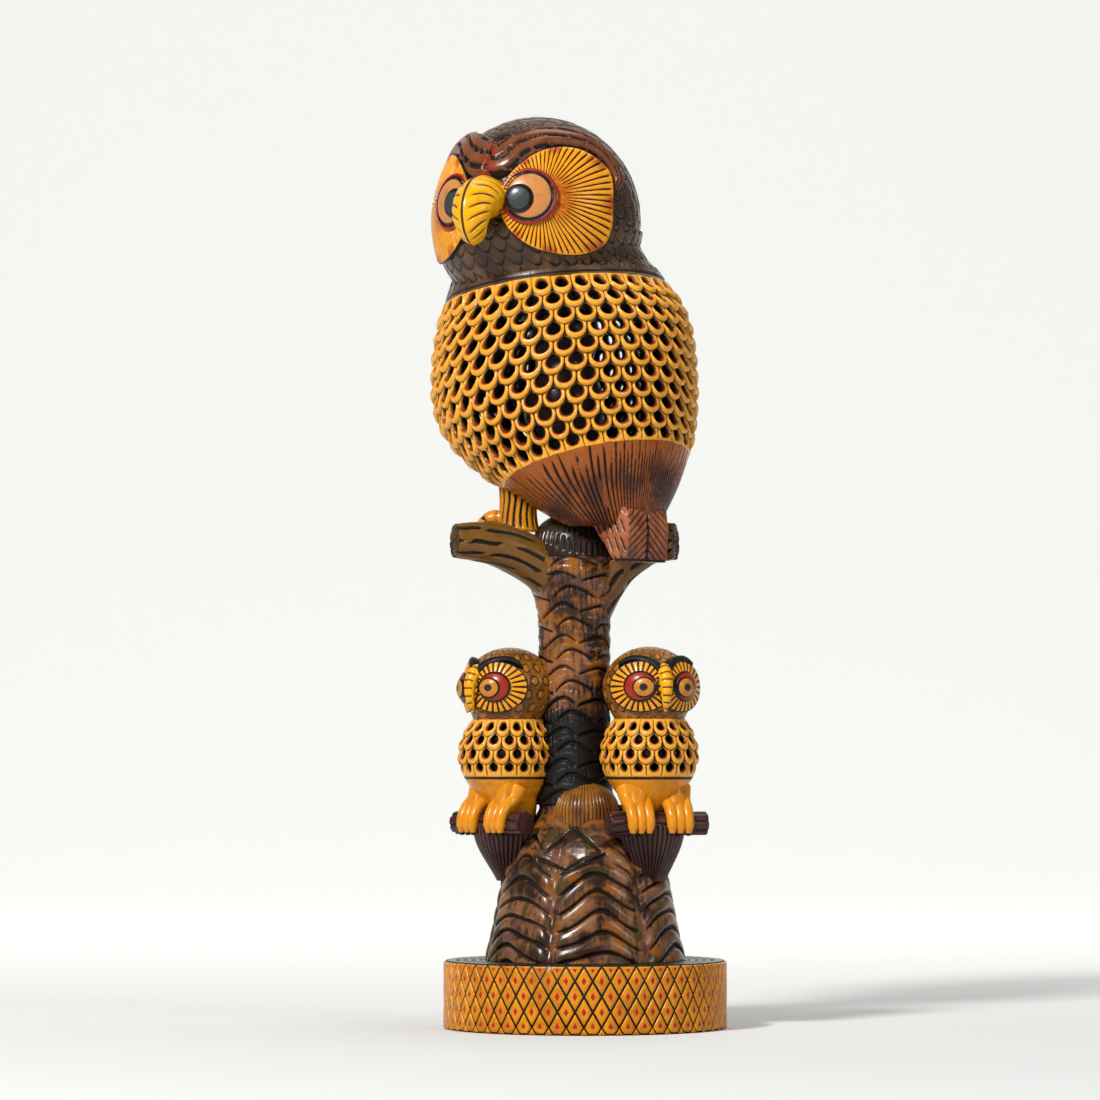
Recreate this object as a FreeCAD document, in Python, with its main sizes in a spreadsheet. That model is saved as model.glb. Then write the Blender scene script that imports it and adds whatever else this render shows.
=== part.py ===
"""Carved wooden figurine: an owl with a pierced body on a forked tree trunk, and two small owls below it.

Millimetres, +Z up. The origin is the middle of the base's underside. A bearing is an angle in degrees
seen from above, counted from the figurine's front (-Y) towards +X.
"""
import FreeCAD, Part
import math
import os

import Sketcher
from FreeCAD import Placement, Rotation, Vector

doc = FreeCAD.newDocument("OwlTree")
sheet = doc.addObject("Spreadsheet::Sheet", "Sizes")

SIZES = {
    # round base
    "base_radius": 58.5, "base_height": 28.0, "base_edge": 1.0,
    # tree: heights are above the table
    "stump_foot": 41.5, "stump_top": 92.0, "stump_lobes": 6.0, "lobe_depth": 1.8,
    "trunk_top": 194.0, "trunk_bearing": -33.0, "trunk_radius": 14.8, "trunk_x": -4.3, "trunk_y": -1.0, "fork_height": 176.0,
    "left_branch_bearing": -57.0, "left_branch_reach": 56.5, "left_branch_radius": 7.0,
    "right_branch_bearing": 90.0, "right_branch_reach": 38.5, "right_branch_radius": 7.6,
    "back_branch_bearing": 172.0, "back_branch_reach": 38.0, "back_branch_radius": 7.0,
    "branch_end_height": 200.5, "crown_radius": 17.0,
    # big owl's body: it looks along body_bearing, and its tail points the other way
    "body_x": 0.0, "body_y": 0.0, "body_bearing": -121.0, "jali_foot": 227.4, "jali_foot_slope": 0.324,
    "jali_top": 305.9, "jali_top_slope": 0.14, "jali_wall": 5.5, "jali_bore": 5.4,
    "jali_rows": 11.0, "jali_holes": 36.0, "jali_open": 0.58, "jali_turn": -1.5, "jali_panels": 6.0, "inner_owl_waist": 12.0,
    "tail_width": 25.0, "tail_foot": 191.5, "tail_height": 34.0,
    "leg_radius": 6.8, "leg_forward": 17.7, "leg_side": 21.5,
    # big owl's head
    "collar_top": 316.0, "face_bearing": -15.0, "head_x": -19.7, "head_y": -1.6, "head_z": 335.5,
    "head_radius": 42.5, "head_rise": 42.5, "mask_depth": 5.0,
    "disc_radius": 23.5, "disc_spread": 42.0, "disc_height": 338.0, "disc_proud": 1.2,
    "brow_radius": 29.5, "brow_proud": 3.0,
    "eye_radius": 10.4, "eye_spread": 25.0, "eye_height": 338.5, "eye_proud": 2.0,
    "pupil_radius": 5.4, "pupil_spread": 20.0, "pupil_proud": 3.0,
    "beak_radius": 7.6, "beak_height": 341.0, "beak_reach": 53.5, "beak_drop": 18.0,
    # small owls
    "left_owlet_x": -30.1, "right_owlet_x": 30.1, "owlet_y": -10.9,
    "left_owlet_looks": -33.0, "right_owlet_looks": 33.0,
    "owlet_belly": 103.5, "owlet_neck": 127.5, "owlet_radius": 20.0, "owlet_wall": 3.6, "owlet_bore": 4.0,
    "owlet_rows": 4.0, "owlet_holes": 22.0, "owlet_head": 140.0, "owlet_head_radius": 19.0,
    "owlet_head_rise": 17.0, "owlet_disc": 13.0, "owlet_eye": 6.7, "owlet_eye_spread": 31.0,
    "owlet_foot_side": 8.6, "owlet_foot_radius": 4.6,
    "perch_height": 84.5, "perch_radius": 4.9, "perch_length": 42.0, "perch_forward": 9.0,
}
for row, (alias, value) in enumerate(SIZES.items(), start=1):
    sheet.set(f"A{row}", alias)
    sheet.set(f"B{row}", str(value))
    sheet.setAlias(f"B{row}", alias)
doc.recompute()

PARTS = []  # the sub-parts, in the order they are written


def cell(alias):
    """The sheet's cell with this alias, as it is written in an expression."""
    return f"Sizes.{alias}"


def size(alias):
    """The same cell's value."""
    return float(getattr(sheet, alias))


def make(kind, name, **bound):
    """Adds a feature. Its sizes are bound to the sheet; Base_x, Base_y and Base_z are its place."""
    thing = doc.addObject(kind, name)
    for prop, expression in bound.items():
        path = f"Placement.Base.{prop[-1]}" if prop.startswith("Base_") else prop
        thing.setExpression(path, str(expression))
    return thing


def part(label, thing):
    """Lists a finished feature as a sub-part under the name that its file gets."""
    thing.Label = label
    PARTS.append(thing)
    return thing


def cut(name, base, *tools):
    """base less each of the tools."""
    for number, tool in enumerate(tools):
        less = doc.addObject("Part::Cut", f"{name}_{number}")
        less.Base = base
        less.Tool = tool
        base = less
    return base


def common(name, first, second):
    both = doc.addObject("Part::Common", name)
    both.Base = first
    both.Tool = second
    return both


def fuse(name, *shapes):
    one = doc.addObject("Part::MultiFuse", name)
    one.Shapes = list(shapes)
    return one


def toward(bearing, climb=0.0):
    """A unit vector along a bearing, climbing by so much per millimetre gone."""
    angle = math.radians(bearing)
    return Vector(math.sin(angle), -math.cos(angle), climb).normalize()


class Stand:
    """A spot on the plan with a facing, for measuring forward of it and to the carved bird's own left."""

    def __init__(self, x, y, looks):
        self.x, self.y, self.looks = cell(x), cell(y), cell(looks)
        self.spot = Vector(size(x), size(y), 0)
        self.bearing = size(looks)

    def place(self, forward, left=0):
        """The spot's x and y as expressions."""
        return {"Base_x": f"{self.x} + ({forward}) * sin({self.looks}) + ({left}) * cos({self.looks})",
                "Base_y": f"{self.y} - ({forward}) * cos({self.looks}) + ({left}) * sin({self.looks})"}

    def point(self, forward, left, height):
        return (self.spot + toward(self.bearing) * forward + toward(self.bearing + 90) * left
                + Vector(0, 0, height))


def ring(name, radius, direction=None, **place):
    circle = make("Part::Circle", name, Radius=radius, **place)
    if direction:
        circle.Placement.Rotation = Rotation(Vector(0, 0, 1), direction)
    return circle


def loft(name, rings, ruled=False):
    skin = doc.addObject("Part::Loft", name)
    skin.Sections = rings
    skin.Solid = True
    skin.Ruled = ruled
    return skin


def round_loft(name, stand, levels, less="0"):
    """A loft through level circles. Each level is (height, forward of the stand, radius)."""
    return loft(name, [ring(f"{name}_ring{n}", f"{radius} - {less}", Base_z=height, **stand.place(forward))
                       for n, (height, forward, radius) in enumerate(levels)])


def tube(name, stations):
    """A loft through circles set square to a path. Each station is (middle, direction, radius)."""
    return loft(name, [ring(f"{name}_ring{n}", radius, direction,
                            Base_x=middle.x, Base_y=middle.y, Base_z=middle.z)
                       for n, (middle, direction, radius) in enumerate(stations)])


def egg(name, radius, rise, height, place):
    """A round solid: radius across, rise up and down."""
    return make("Part::Ellipsoid", name, Radius1=rise, Radius2=radius, Radius3=radius, Base_z=height,
                Angle1="-90", Angle2="90", Angle3="360", **place)


def peg(name, radius, bearing, height, place):
    """A long level cylinder that runs outwards from a stand along a bearing."""
    rod = make("Part::Cylinder", name, Radius=radius, Height="80", Base_z=height, **place)
    rod.Placement.Rotation = Rotation(Vector(0, 0, 1), toward(bearing))
    return rod


def under(name, height, slope=0.0, bearing=90.0):
    """All that lies under a plane: height at the axis, rising by slope per millimetre along a bearing."""
    reach = 150.0
    box = make("Part::Box", name, Length=2 * reach, Width=2 * reach, Height=2 * reach)
    turn = Rotation(Vector(0, 0, 1), bearing - 90.0)
    tilt = Rotation(Vector(0, 1, 0), -math.degrees(math.atan(slope)))
    corner = Placement(Vector(-reach, -reach, -2 * reach), Rotation())
    box.Placement = Placement(Vector(0, 0, height), turn.multiply(tilt)).multiply(corner)
    return box


# ---------------------------------------------------------------- base and tree
def base_disc():
    """A turned disc: a circle padded up, with both rims eased."""
    body = doc.addObject("PartDesign::Body", "BaseBody")
    sketch = body.newObject("Sketcher::SketchObject", "BaseSketch")
    flat = [f for f in body.Origin.OriginFeatures if f.Role == "XY_Plane"][0]
    sketch.AttachmentSupport = [(flat, "")]
    sketch.MapMode = "FlatFace"
    circle = sketch.addGeometry(Part.Circle(Vector(0, 0, 0), Vector(0, 0, 1), size("base_radius")), False)
    sketch.addConstraint(Sketcher.Constraint("Coincident", circle, 3, -1, 1))
    sketch.addConstraint(Sketcher.Constraint("Radius", circle, size("base_radius")))
    sketch.setExpression("Constraints[1]", cell("base_radius"))
    pad = body.newObject("PartDesign::Pad", "BasePad")
    pad.Profile = sketch
    pad.setExpression("Length", cell("base_height"))
    doc.recompute()
    rims = [f"Edge{n}" for n, e in enumerate(pad.Shape.Edges, start=1) if isinstance(e.Curve, Part.Circle)]
    eased = body.newObject("PartDesign::Fillet", "BaseRims")
    eased.Base = (pad, rims)
    eased.setExpression("Radius", cell("base_edge"))
    body.Tip = eased
    return body


def lobed_ring(name, height, radius):
    """A closed wavy outline with shallow lobes and a valley at the front."""
    lobes, depth = int(size("stump_lobes")), size("lobe_depth")
    steps = lobes * 8
    points = []
    for step in range(steps):
        angle = 2 * math.pi * step / steps
        reach = radius - depth * (0.5 + 0.5 * math.cos(lobes * angle)) ** 2
        points.append(Vector(reach * math.sin(angle), -reach * math.cos(angle), height))
    curve = Part.BSplineCurve()
    curve.interpolate(points, PeriodicFlag=True)
    outline = doc.addObject("Part::Feature", name)
    outline.Shape = Part.Wire(curve.toShape())
    return outline


def tree_stump():
    """The flared, lobed foot of the tree."""
    foot, top, wide = size("base_height"), size("stump_top"), size("stump_foot")
    levels = [(foot, wide), (36, 0.95 * wide), (48, 0.89 * wide), (60, 0.83 * wide), (69, 0.78 * wide),
              (80, 0.64 * wide), (top, 0.44 * wide)]
    return loft("Stump", [lobed_ring(f"StumpRing{n}", z, r) for n, (z, r) in enumerate(levels)])


def tree_trunk(stand):
    """The upright trunk above the stump, widening into the fork."""
    thick = cell("trunk_radius")
    levels = [(cell("stump_top"), 0, f"{thick} + 1.6"), (110, 0, f"{thick} + 0.4"), (135, 0, thick),
              (160, 0, thick), (cell("fork_height"), 0, f"{thick} + 1.6"), (186, 0, f"{thick} + 4.2"),
              (cell("trunk_top"), 0, f"{thick} + 3.6")]
    return round_loft("Trunk", stand, levels)


def crown(stand):
    """The combed hump of wood between the fork and the belly of the owl."""
    thick, top = cell("crown_radius"), cell("trunk_top")
    levels = [(top, 0, thick), (f"{top} + 6", 0, f"{thick} - 0.6"), (f"{top} + 12", 0, f"{thick} - 3"),
              (f"{top} + 18", 0, f"{thick} - 8")]
    return round_loft("Crown", stand, levels)


def branch(side, swell):
    """A stub of branch that leaves the fork, bends outwards and ends in a sawn face."""
    bearing, reach = size(f"{side}_branch_bearing"), size(f"{side}_branch_reach")
    end, fork, thick = size("branch_end_height"), size("fork_height"), cell(f"{side}_branch_radius")
    out = toward(bearing)
    def spot(along, height):
        return out * (along * reach) + Vector(0, 0, height)
    return tube(f"Branch_{side}", [
        (spot(0.10, fork + 2), toward(bearing, 1.8), f"{thick} + {swell - 1}"),
        (spot(0.38, fork + 16), toward(bearing, 0.9), f"{thick} + {swell}"),
        (spot(0.66, end - 1.5), toward(bearing, 0.2), f"{thick} + {0.6 * swell}"),
        (spot(1.00, end), toward(bearing, 0.04), thick)])


# ---------------------------------------------------------------- big owl
BODY_LEVELS = [  # height, shift towards the tail, radius
    (206.0, 17.0, 17.0), (212.0, 13.0, 24.0), (218.0, 8.0, 30.5), (224.0, 2.0, 37.5), (231.0, -3.0, 43.5),
    (240.0, -7.5, 49.5), (252.0, -11.0, 54.0), (268.0, -12.2, 55.3), (282.0, -12.2, 54.3),
    (294.0, -12.4, 52.0), (303.0, -13.3, 48.5), (310.0, -15.2, 44.8), (size("collar_top"), -17.0, 42.2),
]


def body_at(height):
    """Shift towards the tail, radius, and growth of the radius with height."""
    for (z0, s0, r0), (z1, s1, r1) in zip(BODY_LEVELS, BODY_LEVELS[1:]):
        if height <= z1:
            share = (height - z0) / (z1 - z0)
            return s0 + share * (s1 - s0), r0 + share * (r1 - r0), (r1 - r0) / (z1 - z0)
    raise ValueError(f"no body at {height}")


def jali_drill(name, first, last):
    """Rows of bores square to the wall, every other row half a pitch on, from one angle to another.

    The angles are in degrees, anticlockwise from the tail. Where the body narrows, the bores narrow too.
    """
    rows, holes, depth = int(size("jali_rows")), int(size("jali_holes")), 2 * size("jali_wall")
    pitch = 360.0 / holes
    tail, side = toward(size("body_bearing") + 180), toward(size("body_bearing") + 270)
    drills = []
    for row in range(rows):
        for hole in range(-1, holes + 1):
            turn = size("jali_turn") + pitch * (hole + 0.5 * (row % 2))
            if not first - pitch < turn < last + pitch:
                continue
            angle = math.radians(turn)
            along = BODY_LEVELS[7][1] + 50.0 * math.cos(angle)
            top = size("jali_top") + size("jali_top_slope") * along
            foot = size("jali_foot") + size("jali_foot_slope") * along
            height = top + (foot - top) * (row + 0.5) / rows
            shift, radius, growth = body_at(height)
            outwards = tail * math.cos(angle) + side * math.sin(angle)
            spot = tail * shift + outwards * radius + Vector(0, 0, height)
            normal = (outwards - Vector(0, 0, growth)).normalize()
            bore = min(size("jali_bore"), size("jali_open") * radius * math.radians(pitch)) / 2
            drills.append(Part.makeCylinder(bore, 1.5 * depth, spot - normal * depth, normal))
    drill = doc.addObject("Part::Feature", name)
    drill.Shape = Part.makeCompound(drills)
    return drill


def jali_panels(stand, band):
    """The jali as upright panels. The seams run a quarter of a pitch beside a bore."""
    count, pitch = int(size("jali_panels")), 360.0 / size("jali_holes")
    for number in range(count):
        first = size("jali_turn") + pitch / 4 + 360.0 * number / count
        wedge = make("Part::Cylinder", f"Wedge{number}", Radius="120", Height="120",
                     Angle=f"360 / {cell('jali_panels')}", Base_z="205", **stand.place(-BODY_LEVELS[7][1]))
        wedge.Placement.Rotation = Rotation(Vector(0, 0, 1), size("body_bearing") + 90 + first)
        panel = common(f"Panel{number}", band, wedge)
        part(f"jali_panel_{number + 1}",
             cut(f"PanelBored{number}", panel, jali_drill(f"Drill{number}", first, first + 360.0 / count)))


def big_body(stand):
    """The solid belly, the pierced jali, the collar above it and the little owl left inside the jali."""
    outer = round_loft("Body", stand, [(z, -shift, radius) for z, shift, radius in BODY_LEVELS])
    hollow = round_loft("Hollow", stand, [(z, -shift, radius) for z, shift, radius in BODY_LEVELS[1:]],
                        cell("jali_wall"))
    tail = size("body_bearing") + 180
    under_foot = under("UnderFoot", size("jali_foot"), size("jali_foot_slope"), tail)
    under_top = under("UnderTop", size("jali_top"), size("jali_top_slope"), tail)
    belly = common("Belly", outer, under_foot)
    collar = cut("Collar", outer, under_top)
    band = cut("Band", common("UnderCollar", outer, under_top), under_foot)
    jali_panels(stand, cut("Jali", band, hollow))
    middle, waist = -BODY_LEVELS[7][1], cell("inner_owl_waist")
    inside = round_loft("Inside", stand, [
        (222, middle - 8, f"{waist} + 0.5"), (236, middle - 2, f"{waist} + 3.5"), (252, middle, f"{waist} + 4.5"),
        (268, middle, f"{waist} + 2.5"), (276, middle, waist), (284, middle, f"{waist} + 2"),
        (296, middle, f"{waist} + 1"), (306, middle, f"{waist} - 2.5"), (311, middle, f"{waist} - 3")])
    part("owl_belly", belly)
    part("owl_collar", collar)
    part("inner_owl", cut("InnerOwl", inside, belly, collar))
    return belly


def big_tail(stand):
    """The square-ended tail: a wedge with a flat back that hangs down past the fork."""
    half, foot, rise = size("tail_width") / 2, size("tail_foot"), size("tail_height")
    def slab(name, share, near, far):
        height = foot + share * rise
        corners = [stand.point(-f, left, height) for f, left in
                   ((near, -half), (far, -half), (far, half), (near, half), (near, -half))]
        outline = doc.addObject("Part::Feature", name)
        outline.Shape = Part.makePolygon(corners)
        return outline
    return loft("Tail", [slab("TailFoot", 0, 29, 36), slab("TailMiddle", 0.5, 18, 39),
                         slab("TailTop", 1, 8, 41)], ruled=True)


def big_leg(stand, side):
    """A feathered shank from the belly down to a foot whose toes bend over the branch."""
    thick, forward, out = cell("leg_radius"), size("leg_forward"), size("leg_side")
    left = out if side == "left" else -out
    return tube(f"Leg_{side}", [
        (stand.point(forward, left, 234), Vector(0, 0, 1), f"{thick} + 1.5"),
        (stand.point(forward, left, 222), Vector(0, 0, 1), thick),
        (stand.point(forward, left, 213), Vector(0, 0, 1), f"{thick} + 0.4"),
        (stand.point(forward, left, 206), Vector(0, 0, 1), f"{thick} + 1.6")])


# ---------------------------------------------------------------- heads
def sockets(name, stand, height, radius, spreads):
    """Two pegs, to the bird's left and right of its face."""
    return [peg(f"{name}_{n}", radius, stand.bearing + sign * spreads, height, stand.place(0))
            for n, sign in enumerate((1, -1))]


def big_head():
    """Skull, brow, discs, eyes and pupils. Each is cut back so that it meets its neighbours face to face."""
    stand = Stand("head_x", "head_y", "face_bearing")
    radius, rise, height = cell("head_radius"), cell("head_rise"), cell("head_z")
    def shell(name, proud):
        return egg(name, f"{radius} + {proud}", f"{rise} + {proud}", height, stand.place(0))
    floor = under("NeckPlane", size("collar_top"))
    inner = shell("MaskBack", f"-{cell('mask_depth')}")
    beak = big_beak(stand)
    disc_pegs = sockets("DiscPeg", stand, cell("disc_height"), cell("disc_radius"), size("disc_spread"))
    eye_pegs = sockets("EyePeg", stand, cell("eye_height"), cell("eye_radius"), size("eye_spread"))
    pupil_pegs = sockets("PupilPeg", stand, cell("eye_height"), cell("pupil_radius"), size("pupil_spread"))
    brow_pegs = sockets("BrowPeg", stand, cell("disc_height"), cell("brow_radius"), size("disc_spread"))
    for n, side in enumerate(("left", "right")):
        disc = common(f"Disc_{side}", shell(f"DiscEgg_{side}", cell("disc_proud")), disc_pegs[n])
        disc = cut(f"DiscSeat_{side}", disc, inner, eye_pegs[n], floor, beak)
        eye = common(f"Eye_{side}", shell(f"EyeEgg_{side}", cell("eye_proud")), eye_pegs[n])
        eye = cut(f"EyeSeat_{side}", eye, inner, pupil_pegs[n], beak)
        pupil = common(f"Pupil_{side}", shell(f"PupilEgg_{side}", cell("pupil_proud")), pupil_pegs[n])
        pupil = cut(f"PupilSeat_{side}", pupil, inner, beak)
        part(f"owl_face_{side}", disc)
        part(f"owl_eye_{side}", eye)
        part(f"owl_pupil_{side}", pupil)
    brow_zone = cut("BrowZone", fuse("BrowPegs", *brow_pegs), under("BrowPlane", size("disc_height") + 6.0))
    brow = common("Brow", shell("BrowEgg", cell("brow_proud")), brow_zone)
    part("owl_brow", cut("BrowSeat", brow, inner, *disc_pegs, *eye_pegs, beak))
    part("owl_beak", beak)
    rind = cut("Rind", shell("SkullEgg", "0"), brow_zone, *disc_pegs, *eye_pegs, *pupil_pegs)
    part("owl_head", cut("Skull", fuse("SkullWhole", rind, inner), beak, floor))


def big_beak(stand):
    """A stout beak, hooked over the face."""
    root, reach, drop, thick = size("beak_height"), size("beak_reach"), size("beak_drop"), cell("beak_radius")
    looks = stand.bearing
    return tube("Beak", [
        (stand.point(reach - 24, 0, root + 2.5), toward(looks), f"{thick} * 0.8"),
        (stand.point(reach - 11, 0, root - 0.5), toward(looks, -0.35), thick),
        (stand.point(reach - 3.5, 0, root - 7.5), toward(looks, -1.3), f"{thick} * 0.86"),
        (stand.point(reach - 1.0, 0, root - drop), toward(looks, -8), f"{thick} * 0.3")])


def owlet_head(side, stand, trunk):
    """A small owl's head with one broad mask, two eyes and a long thin beak."""
    radius, rise, height = cell("owlet_head_radius"), cell("owlet_head_rise"), cell("owlet_head")
    def shell(name, proud):
        return egg(f"{name}_{side}", f"{radius} + {proud}", f"{rise} + {proud}", height, stand.place(0))
    floor = under(f"OwletNeckPlane_{side}", size("owlet_neck"))
    inner = shell("OwletMaskBack", "-3")
    middle = size("owlet_head")
    beak = tube(f"OwletBeak_{side}", [
        (stand.point(14.5, 0, middle + 5), toward(stand.bearing, -0.3), "2.2"),
        (stand.point(19.5, 0, middle + 1.5), toward(stand.bearing, -1.2), "2.5"),
        (stand.point(21.0, 0, middle - 4.5), toward(stand.bearing, -8), "2.2"),
        (stand.point(20.2, 0, middle - 11), toward(stand.bearing, -20), "0.9")])
    eye_pegs = sockets(f"OwletEyePeg_{side}", stand, height, cell("owlet_eye"), size("owlet_eye_spread"))
    disc_pegs = fuse(f"OwletMaskPegs_{side}",
                     *sockets(f"OwletDiscPeg_{side}", stand, height, cell("owlet_disc"), 32.0))
    mask = cut(f"OwletMask_{side}", common(f"OwletMaskWhole_{side}", shell("OwletMaskEgg", "0.8"), disc_pegs),
               inner, *eye_pegs, floor, beak)
    part(f"{side}_owlet_face", mask)
    for n, hand in enumerate(("left", "right")):
        eye = common(f"OwletEye_{side}_{hand}", shell(f"OwletEyeEgg_{hand}", "1.6"), eye_pegs[n])
        part(f"{side}_owlet_eye_{hand}", cut(f"OwletEyeSeat_{side}_{hand}", eye, inner, beak))
    part(f"{side}_owlet_beak", beak)
    rind = cut(f"OwletRind_{side}", shell("OwletSkullEgg", "0"), disc_pegs, *eye_pegs)
    skull = fuse(f"OwletSkull_{side}", rind, inner)
    part(f"{side}_owlet_head", cut(f"OwletSkullSeat_{side}", skull, beak, floor, trunk))


# ---------------------------------------------------------------- small owls
def owlet_levels():
    wide = cell("owlet_radius")
    return [(95, 0, f"{wide} * 0.60"), (100, 0, f"{wide} * 0.79"), (105, 0, f"{wide} * 0.93"),
            (110, 0, wide), (116, 0, f"{wide} * 0.99"), (122, 0, f"{wide} * 0.89"),
            (cell("owlet_neck"), 0, f"{wide} * 0.73")]


def owlet_drill(side, stand):
    """Bores over the front of a small owl's jali."""
    rows, holes = int(size("owlet_rows")), int(size("owlet_holes"))
    foot, neck, wide = size("owlet_belly"), size("owlet_neck"), size("owlet_radius")
    drills = []
    for row in range(rows):
        height = foot + (neck - foot) * (row + 0.5) / rows
        for hole in range(holes):
            turn = 360.0 * (hole + 0.5 * (row % 2)) / holes
            if 115.0 < turn < 245.0:
                continue
            outwards = toward(stand.bearing + turn)
            start = stand.spot + outwards * (wide - 9) + Vector(0, 0, height)
            drills.append(Part.makeCylinder(size("owlet_bore") / 2, 12, start, outwards))
    drill = doc.addObject("Part::Feature", f"OwletDrill_{side}")
    drill.Shape = Part.makeCompound(drills)
    return drill


def owlet(side, stump, trunk):
    """One small owl with its perch, all but its place the same on both sides."""
    stand = Stand(f"{side}_owlet_x", "owlet_y", f"{side}_owlet_looks")
    looks = stand.bearing
    outer = round_loft(f"Owlet_{side}", stand, owlet_levels())
    hollow = round_loft(f"OwletHollow_{side}", stand, owlet_levels(), cell("owlet_wall"))
    under_foot = under(f"OwletFoot_{side}", size("owlet_belly"))
    belly = cut(f"OwletBelly_{side}", common(f"OwletUnder_{side}", outer, under_foot), trunk)
    part(f"{side}_owlet_belly", belly)
    jali = cut(f"OwletJali_{side}", outer, under_foot, hollow, owlet_drill(side, stand), trunk)
    part(f"{side}_owlet_jali", jali)
    core = round_loft(f"OwletCore_{side}", stand, [(cell("owlet_belly"), 0, 9), (112, 0, 11), (120, 0, 10.5),
                                                   (cell("owlet_neck"), 0, 9)])
    part(f"{side}_owlet_core", core)
    owlet_head(side, stand, trunk)

    # corbel, crossbar with its stub, and the two feet
    corbel = round_loft(f"Corbel_{side}", stand, [(60, -5, 8), (67, -3, 10.5), (74, -1, 13),
                                                  (cell("perch_height"), 0, 14.5)])
    height, forward, thick = size("perch_height"), size("perch_forward"), cell("perch_radius")
    bar = make("Part::Cylinder", f"Bar_{side}", Radius=thick, Height=cell("perch_length"),
               Base_z=cell("perch_height"), **stand.place(forward, f"-{cell('perch_length')} / 2"))
    bar.Placement.Rotation = Rotation(Vector(0, 0, 1), toward(looks + 90))
    stub = make("Part::Cylinder", f"Stub_{side}", Radius="3.3", Height="13", Base_z=cell("perch_height"),
                **stand.place(forward))
    stub.Placement.Rotation = Rotation(Vector(0, 0, 1), toward(looks))
    corbel = cut(f"CorbelSeat_{side}", corbel, bar, stump)
    part(f"{side}_perch_corbel", corbel)
    perch = cut(f"PerchSeat_{side}", fuse(f"Perch_{side}", bar, stub), stump)
    part(f"{side}_perch", perch)
    for hand, sign in (("left", 1), ("right", -1)):
        aside, toes = sign * size("owlet_foot_side"), cell("owlet_foot_radius")
        foot = tube(f"OwletLeg_{side}_{hand}", [
            (stand.point(4.5, aside * 0.9, 99), toward(looks, -6), f"{toes} + 0.6"),
            (stand.point(8.5, aside, 92.5), toward(looks, -1.2), toes),
            (stand.point(14.5, aside, 87), toward(looks, -3), f"{toes} * 0.86"),
            (stand.point(15.6, aside, 78.5), toward(looks, -20), f"{toes} * 0.62")])
        foot = cut(f"OwletLegSeat_{side}_{hand}", foot, belly, perch, corbel)
        part(f"{side}_owlet_foot_{hand}", foot)


# ---------------------------------------------------------------- the whole figurine
part("base_disc", base_disc())
stump = part("tree_stump", tree_stump())
trunk_stand = Stand("trunk_x", "trunk_y", "trunk_bearing")
trunk = part("tree_trunk", tree_trunk(trunk_stand))

body_stand = Stand("body_x", "body_y", "body_bearing")
belly = big_body(body_stand)

hump = crown(trunk_stand)
part("tree_crown", cut("CrownSeat", hump, belly))
limbs = {side: branch(side, swell) for side, swell in (("left", 3.6), ("right", 3.0), ("back", 3.0))}
for side, limb in limbs.items():
    part(f"branch_{side}", cut(f"BranchSeat_{side}", limb, trunk, hump, belly))
part("owl_tail", cut("TailSeat", big_tail(body_stand), belly, limbs["right"], hump, trunk))
for side, limb in (("left", "left"), ("right", "back")):
    part(f"owl_leg_{side}", cut(f"LegSeat_{side}", big_leg(body_stand, side), belly, limbs[limb]))
big_head()
for side in ("left", "right"):
    owlet(side, stump, trunk)

doc.recompute()

# ---------------------------------------------------------------- checks and files
for thing in doc.Objects:
    if "Invalid" in thing.State or "Error" in thing.State:
        raise RuntimeError(f"{thing.Name} did not build: {thing.State}")
os.makedirs("parts", exist_ok=True)
for thing in PARTS:
    shape = thing.Shape
    if shape.isNull() or not shape.isValid() or not shape.Solids:
        raise RuntimeError(f"{thing.Label} has no valid solid")
    shape.exportStep(f"parts/{thing.Label}.step")
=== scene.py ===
import math

import bmesh
import bpy
import numpy as np
from bpy.props import FloatProperty, FloatVectorProperty, IntProperty, PointerProperty
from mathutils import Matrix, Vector
from mathutils.bvhtree import BVHTree


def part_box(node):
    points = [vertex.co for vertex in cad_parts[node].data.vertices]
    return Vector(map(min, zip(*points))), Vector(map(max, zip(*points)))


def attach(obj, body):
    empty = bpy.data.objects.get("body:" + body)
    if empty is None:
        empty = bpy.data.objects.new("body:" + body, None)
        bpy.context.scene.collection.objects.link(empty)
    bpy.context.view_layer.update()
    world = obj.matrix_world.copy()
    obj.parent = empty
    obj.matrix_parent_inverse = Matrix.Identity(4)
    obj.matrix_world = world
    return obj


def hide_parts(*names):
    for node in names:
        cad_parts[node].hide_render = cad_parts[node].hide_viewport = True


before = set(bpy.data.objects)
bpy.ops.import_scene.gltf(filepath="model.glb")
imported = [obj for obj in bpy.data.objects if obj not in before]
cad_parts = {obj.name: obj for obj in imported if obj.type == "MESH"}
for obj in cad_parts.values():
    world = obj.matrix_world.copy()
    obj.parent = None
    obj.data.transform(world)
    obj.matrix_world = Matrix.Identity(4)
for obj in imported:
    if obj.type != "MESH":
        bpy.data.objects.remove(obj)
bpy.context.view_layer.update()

bl_info = {
    "name": "Carved Owl Figurine",
    "version": (1, 0, 0),
    "blender": (4, 5, 0),
    "location": "3D View > Sidebar > Owl",
    "description": "Carves the owl figurine around its packed solids",
    "category": "Add Mesh",
}

MM = 0.001
TAU = 2 * math.pi


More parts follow.
